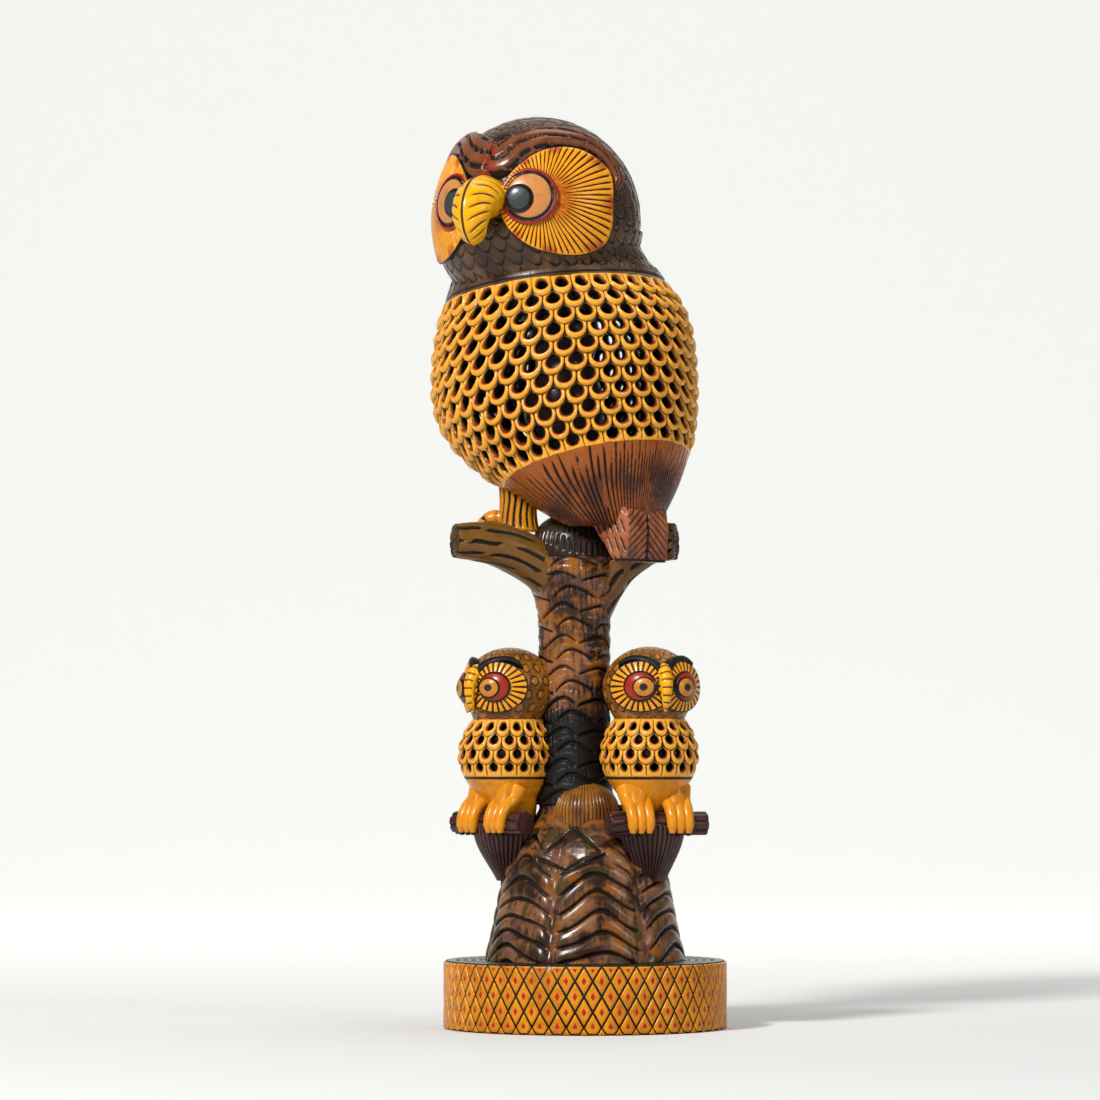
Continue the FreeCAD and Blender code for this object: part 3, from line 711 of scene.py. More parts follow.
def feather_strip(rows, lift, sink, gap=0.955, scale=Scale(-0.15, -0.85)):
    """One column of feathers as shallow plates with cut lines between them. It runs down from 0 to -1."""
    points, faces, marks = [], [], {"cut": [], "crest": []}
    for number in range(rows):
        outline = [(u, v / rows) for u, v, _ in scale.outline()]
        heart = np.mean(outline, axis=0)
        outline = [(u - heart[0], v - heart[1]) for u, v in outline]
        middle = (0.5 + 0.5 * (number % 2) + heart[0], -(number + 0.7) / rows + heart[1])
        dark, plain, worn = {"cut": 1, "crest": 0}, {"cut": 0, "crest": 0.1}, {"cut": 0, "crest": 0.75}
        rings = [(gap, -sink, dark), (gap, -0.3 * lift, dark), (gap * 0.93, lift * 0.7, worn),
                 (gap * 0.78, lift, plain), (gap * 0.4, lift * 1.1, plain)]
        plate(points, faces, marks, middle, outline, rings)
    return solid("strip", points, faces, marks, None)


def skin(nodes, path, columns, reach=0.09, start=None):
    """Radii from a path out to the skin of some CAD nodes, as the tube for that path would turn them."""
    form = bmesh.new()
    for node in nodes:
        form.from_mesh(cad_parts[node].data)
    tree = BVHTree.FromBMesh(form)
    form.free()
    rays, _ = tube(path, np.full(len(path), reach), columns, start=start)
    radii = np.full(rays.shape[:2], np.nan)
    for r, ring in enumerate(rays):
        middle = Vector(path[r])
        for c, far in enumerate(ring):
            far = Vector(far)
            hit = tree.ray_cast(far, (middle - far).normalized(), reach)[0]
            if hit:
                radii[r, c] = (hit - middle).length
    usual = np.nanmedian(radii)
    return np.where(np.isnan(radii) | (radii > 2.2 * usual), usual, radii)


def fine_skin(node, path, probe, probe_columns, columns):
    """Radii from a path out to one node's skin, probed at some rows and columns and filled in between."""
    found = skin([node], path[probe], probe_columns, start=(1, 0, 0))
    radii = [np.interp(path[:, 2], path[probe][:, 2], found[:, c]) for c in range(probe_columns)]
    source = np.append(around(probe_columns), TAU)
    return np.stack([np.interp(around(columns), source, np.append(row, row[0])) for row in np.stack(radii, 1)])


def shield(name, place, outline, profile, relief, material, columns=180, centre=(0, 0)):
    """A closed plate on a rounded ground, from rings of an outline.

    place(s, t, h) gives points, outline(turn) the reach of the edge, profile(q) the height at a share q of the
    reach, and relief(q, turn) extra height and marks. The plate's underside is 1.5 mm below the ground.
    """
    turn = around(columns)
    edge = outline(turn)
    shares = np.concatenate([[0.02], np.linspace(0.1, 0.9, 22), [0.94, 0.97, 0.99, 1.0]])
    q, spin = shares[:, None] + 0 * turn, turn[None, :] + 0 * shares[:, None]
    height, marks = relief(q, spin)
    top = place(centre[0] + q * edge * np.cos(spin), centre[1] + q * edge * np.sin(spin), profile(q) + height)
    under = place(centre[0] + edge * np.cos(turn), centre[1] + edge * np.sin(turn), -1.5 * MM + 0 * turn)
    rings = np.concatenate([under[None], top[::-1]])
    marks = {key: np.concatenate([mark[-1:] * 0 + (1 if key in ("cut", "ring") else 0), mark[::-1]])
             for key, mark in marks.items()}
    return sleeve(name, rings, marks, material)


def plain_rings(q, spin):
    """No relief, and rings of paint by how far out a point is."""
    return 0 * q, {"ring": q, "cut": 0 * q}


def ball(middle, radius, bearing, rise=1.0):
    """place(s, t, h) about a direction on a ball: s to the right as seen, t up, h outwards.

    Lengths are measured on the ball.
    """
    def direction(lean, climb):
        bearing_now = bearing + lean
        flat = way(np.array(bearing_now)) * math.cos(climb)
        return flat + np.array([0, 0, math.sin(climb)])

    def at(lean, climb):
        out = direction(lean, climb)
        right = way(np.array(bearing + lean + math.pi / 2))
        up = np.cross(out, right) * -1
        up = up if up[2] > 0 else -up

        def place(s, t, h):
            s, t, h = np.broadcast_arrays(s, t, h)
            reach = np.sqrt(s ** 2 + t ** 2) + 1e-12
            angle = reach / radius
            flat = (s[..., None] * right + t[..., None] * up) / reach[..., None]
            ray = np.cos(angle)[..., None] * out + np.sin(angle)[..., None] * flat
            return middle + ray * (radius + h)[..., None] * np.array([1, 1, rise])
        return place
    return at


def band_of(name, place, path, widths, height, relief, material, rows=90, columns=18):
    """A raised band laid along a path on a ball, closed beneath. Columns run from its right to its left."""
    line = smooth_path(path, rows)
    ahead = np.gradient(line, axis=0)
    ahead /= np.linalg.norm(ahead, axis=1)[:, None]
    left = np.stack([-ahead[:, 1], ahead[:, 0]], -1)
    width = np.interp(np.linspace(0, 1, rows), np.linspace(0, 1, len(widths)), widths)
    across = np.linspace(-1, 1, columns)
    s = line[:, :1] + left[:, :1] * width[:, None] / 2 * across
    t = line[:, 1:] + left[:, 1:] * width[:, None] / 2 * across
    along = np.linspace(0, 1, rows)[:, None] + 0 * across
    spread = across[None, :] + 0 * along
    extra, marks = relief(along, spread)
    dome = (1 - np.abs(spread) ** 4) * 0.75 + 0.25
    taper = np.clip(np.minimum(along, 1 - along) * 14, 0.25, 1)
    top = place(s, t, height * dome * taper + extra)
    low = place(s[:, ::-1], t[:, ::-1], -1.0 * MM + 0 * s)
    ring = np.concatenate([top, low], axis=1)
    marks = {key: np.concatenate([mark, mark[:, ::-1] * 0 + (1 if key == "cut" else 0)], axis=1)
             for key, mark in marks.items()}
    return sleeve(name, ring, marks, material)


def plane_of(points):
    """The plane z = a + b x + c y through points."""
    flat = np.column_stack([np.ones(len(points)), points[:, 0], points[:, 1]])
    return np.linalg.lstsq(flat, points[:, 2], rcond=None)[0]


def edge_planes(nodes, middle):
    """The planes of the upper and lower rims of a ring of CAD nodes."""
    points = np.concatenate([np.array([v.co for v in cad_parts[n].data.vertices]) for n in nodes])
    turn = np.arctan2(points[:, 1] - middle[1], points[:, 0] - middle[0])
    sector = ((turn / TAU) % 1 * 72).astype(int)
    top, foot = [], []
    for k in range(72):
        group = points[sector == k]
        if len(group):
            top.append(group[group[:, 2].argmax()])
            foot.append(group[group[:, 2].argmin()])
    return plane_of(np.array(top)), plane_of(np.array(foot))


def rim_height(form, bearing, plane):
    """The height where a form meets a plane, along each bearing."""
    z = np.full(bearing.shape, plane[0])
    for _ in range(30):
        spot = form.point(bearing, np.clip(z, form.z[0], form.z[-1]))
        z = 0.5 * z + 0.5 * (plane[0] + plane[1] * spot[..., 0] + plane[2] * spot[..., 1])
    return np.clip(z, form.z[0], form.z[-1])


def even_rows(form, top, foot, rows):
    """Heights that part a form into rows of even length along its skin, from its top down."""
    share = np.linspace(0, 1, 80)[:, None]
    z = top + (foot - top) * share
    radius, middle = form.at(z)[2], form.at(z)[0]
    step = np.sqrt(np.diff(z, axis=0) ** 2 + np.diff(radius, axis=0) ** 2 + 0.25 * np.diff(middle, axis=0) ** 2)
    length = np.concatenate([np.zeros((1, z.shape[1])), np.cumsum(step, axis=0)])
    length /= length[-1]
    wanted = np.linspace(0, 1, rows)
    return np.stack([np.interp(wanted, length[:, c], z[:, c]) for c in range(z.shape[1])], 1)


def wrap_form(form, top_plane, foot_plane, rows=40, columns=144, begin=0.0):
    """The chart of a turned form between two planes, run on past its seam."""
    extra = columns // 12
    across = np.arange(-extra, columns + extra + 1) / columns
    bearing = begin + across * TAU
    rims = [rim_height(form, bearing, plane) for plane in (top_plane, foot_plane)]
    z = even_rows(form, *rims, rows)
    down = -np.linspace(0, 1, rows)[:, None] + 0 * z
    order = slice(None, None, -1)
    return chart(form.point(bearing[None, :] + 0 * z, z)[order], (across[None, :] + 0 * z)[order], down[order])


# ---------------------------------------------------------------- the figurine
EYE_OUT, EYE_RISE = math.radians(24.7), 0.105
OWLET_EYE_OUT, OWLET_EYE_RISE = 0.52, 0.02
OWLET_TURN = math.radians(33)
VIEW_TURN = math.radians(15)
BELLY_FOOT, COLLAR_TOP, NECK_TOP = 206.5 * MM, 315.5 * MM, 331 * MM
TAIL_FOOT, TAIL_TOP = 191.5, 217.5
SHANK_FOOT, SHANK_TOP = 205 * MM, 233 * MM
STUMP_FOOT, STUMP_TOP, TRUNK_TOP = 28, 92, 194
OWLET_FOOT, OWLET_WAIST, OWLET_NAPE, OWLET_EYES = 95.6 * MM, 103.5 * MM, 127.4 * MM, 140 * MM
BODY_NODES = ["owl_belly", *(f"jali_panel_{n}" for n in range(1, 7)), "owl_collar"]
PANELS = BODY_NODES[1:-1]


def parts_bearing():
    """The bearings that the big owl's body and head look along, from where its parts lie."""
    tail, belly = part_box("owl_tail"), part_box("inner_owl")
    dx = (tail[0][0] + tail[1][0]) / 2 - (belly[0][0] + belly[1][0]) / 2
    dy = (tail[0][1] + tail[1][1]) / 2 - (belly[0][1] + belly[1][1]) / 2
    return math.atan2(-dx, dy)


def middle_of(node, height=0.0):
    """The middle of a CAD node on the plan, at a height."""
    spot = np.mean(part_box(node), axis=0)
    spot[2] = height
    return spot


def head_ball():
    """The big head's middle, radius and facing."""
    low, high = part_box("owl_head")
    middle = np.array([(low[0] + high[0]) / 2, (low[1] + high[1]) / 2, 0])
    radius = (high[0] - low[0]) / 2
    middle[2] = high[2] - radius
    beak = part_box("owl_beak")
    aim = [(beak[0][k] + beak[1][k]) / 2 - middle[k] for k in (0, 1)]
    return middle, radius, math.atan2(aim[0], -aim[1])


class Shared:
    """What several operators use; made once."""
    paints = {}
    body = None
    planes = None


def ready():
    """The finishes, mixed once."""
    if not Shared.paints:
        Shared.paints = palette()
    return Shared.paints


def body_form():
    """The big owl's turned form and the planes of its lattice's rims, measured once."""
    if Shared.body is None:
        Shared.body = Turned(BODY_NODES, BELLY_FOOT, COLLAR_TOP, 60)
        Shared.planes = edge_planes(PANELS, (np.mean(Shared.body.x), np.mean(Shared.body.y)))
    return Shared.body, Shared.planes


class Carve(bpy.types.Operator):
    """Base of the carving operators"""
    bl_options = {"REGISTER", "UNDO"}

    def execute(self, context):
        self.carve(context.scene.owl_sizes, ready())
        return {"FINISHED"}


class OWL_OT_lattice(Carve):
    """Carves the big owl's pierced jali, scale by scale"""
    bl_idname = "owl.lattice"
    bl_label = "Jali"

    def carve(self, sizes, paint):
        form, (top, foot) = body_form()
        pitch = TAU * 52 * MM / sizes.lattice_holes
        length = 83 * MM
        margin = 0.56
        row = length / (sizes.lattice_rows - 1 + 2 * margin)
        strip = lattice_strip(sizes.lattice_rows, margin, pitch, row, 2.95 * MM, sizes.lattice_wall, sizes.lip)
        ground = wrap_form(form, top, foot, 56)
        piece = wrapped("jali", ground, strip, sizes.lattice_holes, paint["jali"], 0.7 * MM, 7, 0.03 * MM)
        show(piece, "jali", *PANELS)


class OWL_OT_belly(Carve):
    """Carves the grooved belly and the collar over the jali"""
    bl_idname = "owl.belly"
    bl_label = "Belly and Collar"

    cuts_round, cut_from, cut_to = 78, 12 * MM, 99 * MM
    scales_round, scale_height, scale_depth = 40, 5.2 * MM, 0.55 * MM

    def carve(self, sizes, paint):
        form, (top, foot) = body_form()
        bearing = around(720)
        self.belly(form, foot, bearing, sizes, paint)
        self.collar(form, top, bearing, paint)

    def belly(self, form, foot, bearing, sizes, paint):
        """The belly, with cuts that fan out from above the tail."""
        rim = rim_height(form, bearing, foot)
        low = form.z[0] + 0 * rim
        z = even_rows(form, rim + 0.4 * MM, low, 64)[::-1]
        spin = bearing[None, :] + 0 * z
        spots = form.point(spin, z)
        facing = parts_bearing()
        ahead, side = way(np.array(facing)), way(np.array(facing + math.pi / 2))
        root = np.array([form.x[0], form.y[0], 0]) - ahead * 8 * MM + np.array([0, 0, 214 * MM])
        off = spots - root
        fan = np.arctan2(off @ side, off @ ahead)
        lift = np.arctan2(off[..., 2], np.hypot(off @ side, off @ ahead))
        lines = np.cos(fan * self.cuts_round + 1.5 * np.sin(lift * 4) + 0.8 * np.sin(fan * 11))
        reach = np.linalg.norm(off, axis=-1)
        broken = 0.5 + 0.5 * wave(fan * 23 + reach * 90, reach * 210 + fan * 9)
        below = rim[None, :] - z
        start = (3.5 + 3.5 * np.sin(fan * 37) + 2.5 * np.sin(fan * 91)) * MM
        groove = past(lines, 0.30, 0.5) * (broken > 0.12) * between(reach, self.cut_from, self.cut_to, 2 * MM)
        groove = groove * between(below, start, 1, 0.6 * MM)
        spots = form.point(spin, z, -sizes.groove * groove)
        rubbed = np.clip(1.15 - below / (17 * MM), 0.1, 1) * (1 - groove)
        piece = sleeve("belly", spots, {"cut": groove * 1.1, "crest": rubbed}, paint["belly"])
        show(piece, "belly", "owl_belly")

    def collar(self, form, top, bearing, paint):
        """The collar from the jali's rim up to the head, closed against the head and cut in scales."""
        rim = rim_height(form, bearing, top)
        high = form.z[-1] + 0 * rim
        z = rim[None, :] + (high - rim)[None, :] * np.linspace(0, 1, 28)[:, None]
        z[0] -= 0.3 * MM
        spin = bearing[None, :] + 0 * z
        flats = 0.25 * MM * wave(spin * 17, z * 900, spin * 5 + z * 400)
        groove = ridge(z - rim - 1.6 * MM, 0.7 * MM)
        lip = form.point(spin, z, flats - groove * 0.5 * MM)
        head, reach, _ = head_ball()
        share = np.linspace(0, 1, 31)[1:, None, None]
        climb = form.z[-1] + (NECK_TOP - form.z[-1]) * share
        inside = np.sqrt(reach ** 2 - (climb - head[2]) ** 2)
        lift = np.where(share > 0.93, -3 * MM, 1.3 * MM * (1 - share) + 0.4 * MM)
        neck = way(bearing[None, :]) * (inside + lift)
        neck = neck + head * np.array([1, 1, 0])
        neck[..., 2] = climb[..., 0] + 0 * neck[..., 2]
        ease = np.clip(share * 1.6, 0, 1) ** 0.8
        base = lip[-1:] * np.array([1, 1, 0]) + np.array([0, 0, 1]) * climb
        neck = base * (1 - ease) + neck * ease
        blank = 0 * neck[..., 0]
        marks = {"cut": np.concatenate([groove * 0.8, blank]),
                 "crest": np.concatenate([0.4 + 0.3 * wave(spin * 9), blank + 0.35])}
        skin_points = np.concatenate([lip, neck])
        off = skin_points - head
        away = np.linalg.norm(off, axis=-1, keepdims=True)
        least = np.full(away.shape, reach + 1.5 * MM)
        least[-1] = 0
        skin_points = head + off * np.maximum(away, least) / away
        heights = skin_points[..., 2]
        course = heights / self.scale_height + 0.08 * np.sin(bearing * 7)
        wide = np.mod(bearing / TAU * self.scales_round + 0.5 * (np.floor(course) % 2), 1) - 0.5
        scales = ridge(course % 1 - 0.12 - 0.7 * (2 * wide) ** 2, 0.11)
        scales = scales * between(heights, rim + 3.5 * MM, 1, 0.3 * MM)
        scales = scales * between(heights, 0, NECK_TOP - 1 * MM, 0.3 * MM)
        skin_points = skin_points - way(bearing)[None] * (self.scale_depth * scales)[..., None]
        marks["cut"] = np.clip(marks["cut"] + scales, 0, 1)
        marks["crest"] = marks["crest"] * (1 - scales)
        piece = sleeve("collar", skin_points, marks, paint["feather"])
        show(piece, "feather", "owl_collar")


class OWL_OT_tail(Carve):
    """Carves the square-ended tail"""
    bl_idname = "owl.tail"
    bl_label = "Tail"

    def carve(self, sizes, paint):
        facing = parts_bearing()
        stand = Stand((0, 0), facing)
        rows, columns = 110, 200
        height = np.linspace(0, 1, rows)[:, None]
        near = np.interp(height, [0, 0.5, 1], [29, 18, 8]) * MM
        far = np.interp(height, [0, 0.5, 0.8, 1], [36, 37.5, 36.5, 30]) * MM
        turn = around(columns)
        c, s = np.cos(turn), np.sin(turn)
        square = 1 / (np.abs(c) ** 14 + np.abs(s) ** 14) ** (1 / 14)
        u, v = c * square, s * square
        z = (TAIL_FOOT + (TAIL_TOP - TAIL_FOOT) * height + 0 * turn) * MM
        back = (near + far) / 2 + (far - near) / 2 * u
        left = 12.4 * MM * v + 0 * back
        dorsal = between(u + 0 * back, 0.93, 2, 0.02)
        flank = between(np.abs(v) + 0 * back, 0.93, 2, 0.02) * (1 - dorsal)
        barb = np.mod((z / MM + 0.85 * np.abs(left) / MM) / 3.1, 1)
        cut = dorsal * np.clip(ridge(barb - 0.5, 0.13) * (np.abs(left) < 11 * MM) + ridge(left, 0.7 * MM), 0, 1)
        hatch = np.mod((back / MM * 0.9 + z / MM * 0.45) / 3.3, 1)
        cut = cut + flank * ridge(hatch - 0.5, 0.14) * between(np.mod(z / MM / 7.5, 1), 0.1, 0.85, 0.03)
        cut = np.clip(cut + ridge(height - 0.02, 0.02), 0, 1)
        shrink = 1 - 0.9 * MM * cut / (0.0125)
        points = stand.point(-((near + far) / 2 + (far - near) / 2 * u * shrink), left * shrink, z)
        piece = sleeve("tail", points, carved(cut, 0.5), paint["tail"])
        show(piece, "belly", "owl_tail")


class OWL_OT_head(Carve):
    """Covers the big head with cut feathers"""
    bl_idname = "owl.head"
    bl_label = "Head"

    def carve(self, sizes, paint):
        middle, radius, facing = head_ball()
        pole = way(np.array(facing)) * math.cos(0.78) + np.array([0, 0, math.sin(0.78)])
        east = way(np.array(facing + math.pi / 2))
        north = np.cross(pole, east)
        pieces = []
        caps = ((2.5, 37, 16, 5), (37, 158, sizes.feather_columns, sizes.feather_rows - 1))
        for number, (inner, outer, columns, rows) in enumerate(caps):
            across = np.arange(-10, 131) / 120
            down = np.linspace(-1 - 1.3 / rows, 1.3 / rows, 72)[:, None] + 0 * across
            angle = np.radians(inner - down * (outer - inner))
            turn = across[None, :] * TAU + 0 * down
            ray = (np.cos(angle)[..., None] * pole + np.sin(angle)[..., None]
                   * (np.cos(turn)[..., None] * east + np.sin(turn)[..., None] * north))
            ground = chart(middle + ray * (radius - 0.2 * MM), across[None, :] + 0 * down, down)
            strip = feather_strip(rows, 0.5 * MM, 0.6 * MM)
            pieces.append(wrapped(f"feathers_{number}", ground, strip, columns, paint["feather"], 0.5 * MM, 3))
        show(join("head_feathers", pieces), "feather")
        stain("owl_head", paint["black"])


DISC = np.array([(36, 0), (35.5, 12), (31, 18), (20, 22.5), (8, 21), (-2, 15), (-10, 6), (-12, -2), (-10, -10),
                 (-4, -17), (6, -22), (20, -23.5), (31, -20), (35.5, -12)]) * MM


def disc_reach(outline, centre, mirror=1):
    """How far an outline is from a centre, at each turn about it."""
    loop = smooth_path(np.vstack([outline, outline[:1]]), 300)
    off = (loop - centre) * np.array([mirror, 1])
    turn = np.arctan2(off[:, 1], off[:, 0])
    order = np.argsort(turn)
    reach = np.hypot(off[:, 0], off[:, 1])
    return lambda angle: np.interp(angle, turn[order], reach[order], period=TAU)


class OWL_OT_face(Carve):
    """Carves the big owl's face: rayed discs, eyes, brow and beak"""
    bl_idname = "owl.face"
    bl_label = "Face"

    def carve(self, sizes, paint):
        middle, radius, facing = head_ball()
        at = ball(middle, radius, facing)
        for mirror, label in ((1, "left"), (-1, "right")):
            place = at(mirror * EYE_OUT, EYE_RISE)
            centre = np.array([5.0, 0.0]) * MM
            reach = disc_reach(DISC, centre, mirror)

            def rays(q, spin):
                eye = 0.34
                beat = np.cos(spin * 62 + 0.8 * np.sin(spin * 5) + 0.6 * np.sin(q * 5))
                start = eye + 0.05 * np.sin(spin * 31)
                groove = past(beat, 0.45, 0.4) * between(q, start, 0.955, 0.012)
                rim = between(q, 0.982, 3, 0.004)
                red = between(q, 0, 0.40, 0.05)
                red = red + between(q, 0.86, 3, 0.03) * (0.5 + 0.5 * np.sin(spin * 9 + 2) > 0.7)
                return (-0.75 * MM * groove - 0.5 * MM * rim,
                        {"cut": np.clip(groove + rim, 0, 1), "crest": (1 - groove) * 0.85, "tint": red * 0.7})

            disc = shield(f"face_{label}", place, reach, lambda q: (1.2 + 2.0 * q ** 2) * MM, rays,
                          paint["face"], 560, (centre[0] * mirror, centre[1]))
            show(disc, "face", f"owl_face_{label}")

            def eye_ring(q, spin):
                groove = ridge(q - 0.83, 0.06)
                return -0.7 * MM * groove, {"ring": q, "cut": 0 * q}

            eye = shield(f"eye_{label}", place, lambda turn: 11.2 * MM + 0 * turn,
                         lambda q: (3.9 - 1.1 * q ** 2.4) * MM, eye_ring, paint["eye"], 120)
            show(eye, "eye", f"owl_eye_{label}")
            pupil = shield(f"pupil_{label}", place, lambda turn: 5.6 * MM + 0 * turn,
                           lambda q: (4.7 - 0.8 * q ** 3) * MM, plain_rings,
                           paint["pupil"], 96, (-3.6 * MM * mirror, -1.2 * MM))
            show(pupil, "pupil", f"owl_pupil_{label}")

            path = np.array([(-18.6, 19), (-12, 18), (-5, 22.5), (6, 28.2), (20, 29), (31, 23.8), (38, 15.2),
                             (39, 6)]) * MM * np.array([mirror, 1])
            widths = np.array([21, 19, 16, 13.5, 11.5, 9, 6, 3.4]) * MM

            def streaks(along, spread):
                lines = np.cos(spread * 9.5 + 1.2 * np.sin(along * 15) + 4 * along)
                dashes = 0.5 + 0.5 * np.sin(along * 66 + spread * 9 + 2 * np.sin(spread * 6))
                groove = past(lines, 0.25, 0.5) * (dashes > 0.05)
                groove = np.clip(groove + between(np.abs(spread), 0.93, 3, 0.02), 0, 1)
                return -0.9 * MM * groove, {"cut": groove, "crest": 0.6 * (1 - groove),
                                            "tint": 0.4 * (along < 0.12)}

            brow = band_of(f"brow_{label}", place, path, widths, 4.2 * MM, streaks, paint["brow"], 150, 30)
            show(brow, "feather", *(["owl_brow"] if label == "left" else []))
        stand = Stand(middle, facing)
        hook = [(34, 337.5), (43, 340), (50, 338.5), (54, 334.5), (55, 328.8), (53, 323.8), (50.8, 320.8)]
        spots = smooth_path(hook, 90) * MM
        path = stand.point(spots[:, 0], 0 * spots[:, 0], spots[:, 1])
        radii = taper(90, [0, 0.12, 0.35, 0.6, 0.85, 0.96, 1], [8, 9.8, 10, 8.4, 5.4, 3.0, 0.8])

        def horn(along, spin):
            off = np.abs(np.angle(np.exp(1j * (spin - math.pi))))
            crossed = np.mod(along * 11 + 0.9 * off, 1)
            cut = ridge(crossed - 0.5, 0.1) * between(off, 0.35, 1.5, 0.08) * between(along, 0.12, 0.9, 0.02)
            spine = ridge(off, 0.10)
            return ((0.9 * ridge(off, 0.3) - 0.9 * cut) * MM, {"cut": np.clip(cut + spine * 0.9, 0, 1),
                                                            "crest": 0.7 * (1 - cut)})

        beak = rod("beak", path, radii, 144, horn, paint["beak"], start=(0, 0, -1),
                   stretch=lambda spin: 1 - 0.14 * np.abs(np.cos(spin)))
        show(beak, "beak", "owl_beak")


class OWL_OT_legs(Carve):
    """Carves the big owl's feathered shanks and its toes"""
    bl_idname = "owl.legs"
    bl_label = "Legs"

    def carve(self, sizes, paint):
        facing = parts_bearing()
        for label in ("left", "right"):
            middle = middle_of(f"owl_leg_{label}")
            heights = np.linspace(SHANK_FOOT, SHANK_TOP, 60)
            path = upright(heights, middle)
            share = np.linspace(0, 1, 60)

            def flutes(along, spin):
                groove = past(np.cos(spin * 17 + np.sin(along * 9)), 0.15, 0.5)
                groove = groove * between(along, 0.06, 3, 0.02)
                return -1.0 * MM * groove, carved(groove, 0.8)

            girth = (7.6 + 1.6 * (1 - share) ** 6 + 1.4 * share ** 3) * MM
            parts = [rod("shank", path, girth, 170, flutes, paint["leg"])]
            for turn in (-0.62, 0.0, 0.62):
                out = Stand(middle, facing + turn)
                grip = [(1, 206), (7, 210.5), (12.5, 209.5), (16, 204), (16.5, 197.5), (14.5, 193)]
                bend = smooth_path(grip, 44) * MM
                toe = out.point(bend[:, 0], 0 * bend[:, 0], bend[:, 1])
                radii = taper(44, [0, 0.4, 0.75, 0.95, 1], [3.4, 3.6, 3.2, 2.2, 0.8])

                def pads(along, spin):
                    groove = ridge(np.mod(along * 6, 1) - 0.5, 0.13) * between(along, 0.25, 0.95, 0.02)
                    return -0.5 * MM * groove, carved(groove, 0.8)

                parts.append(rod("toe", toe, radii, 40, pads, paint["foot"]))
            show(join(f"leg_{label}", parts), "foot", f"owl_leg_{label}")


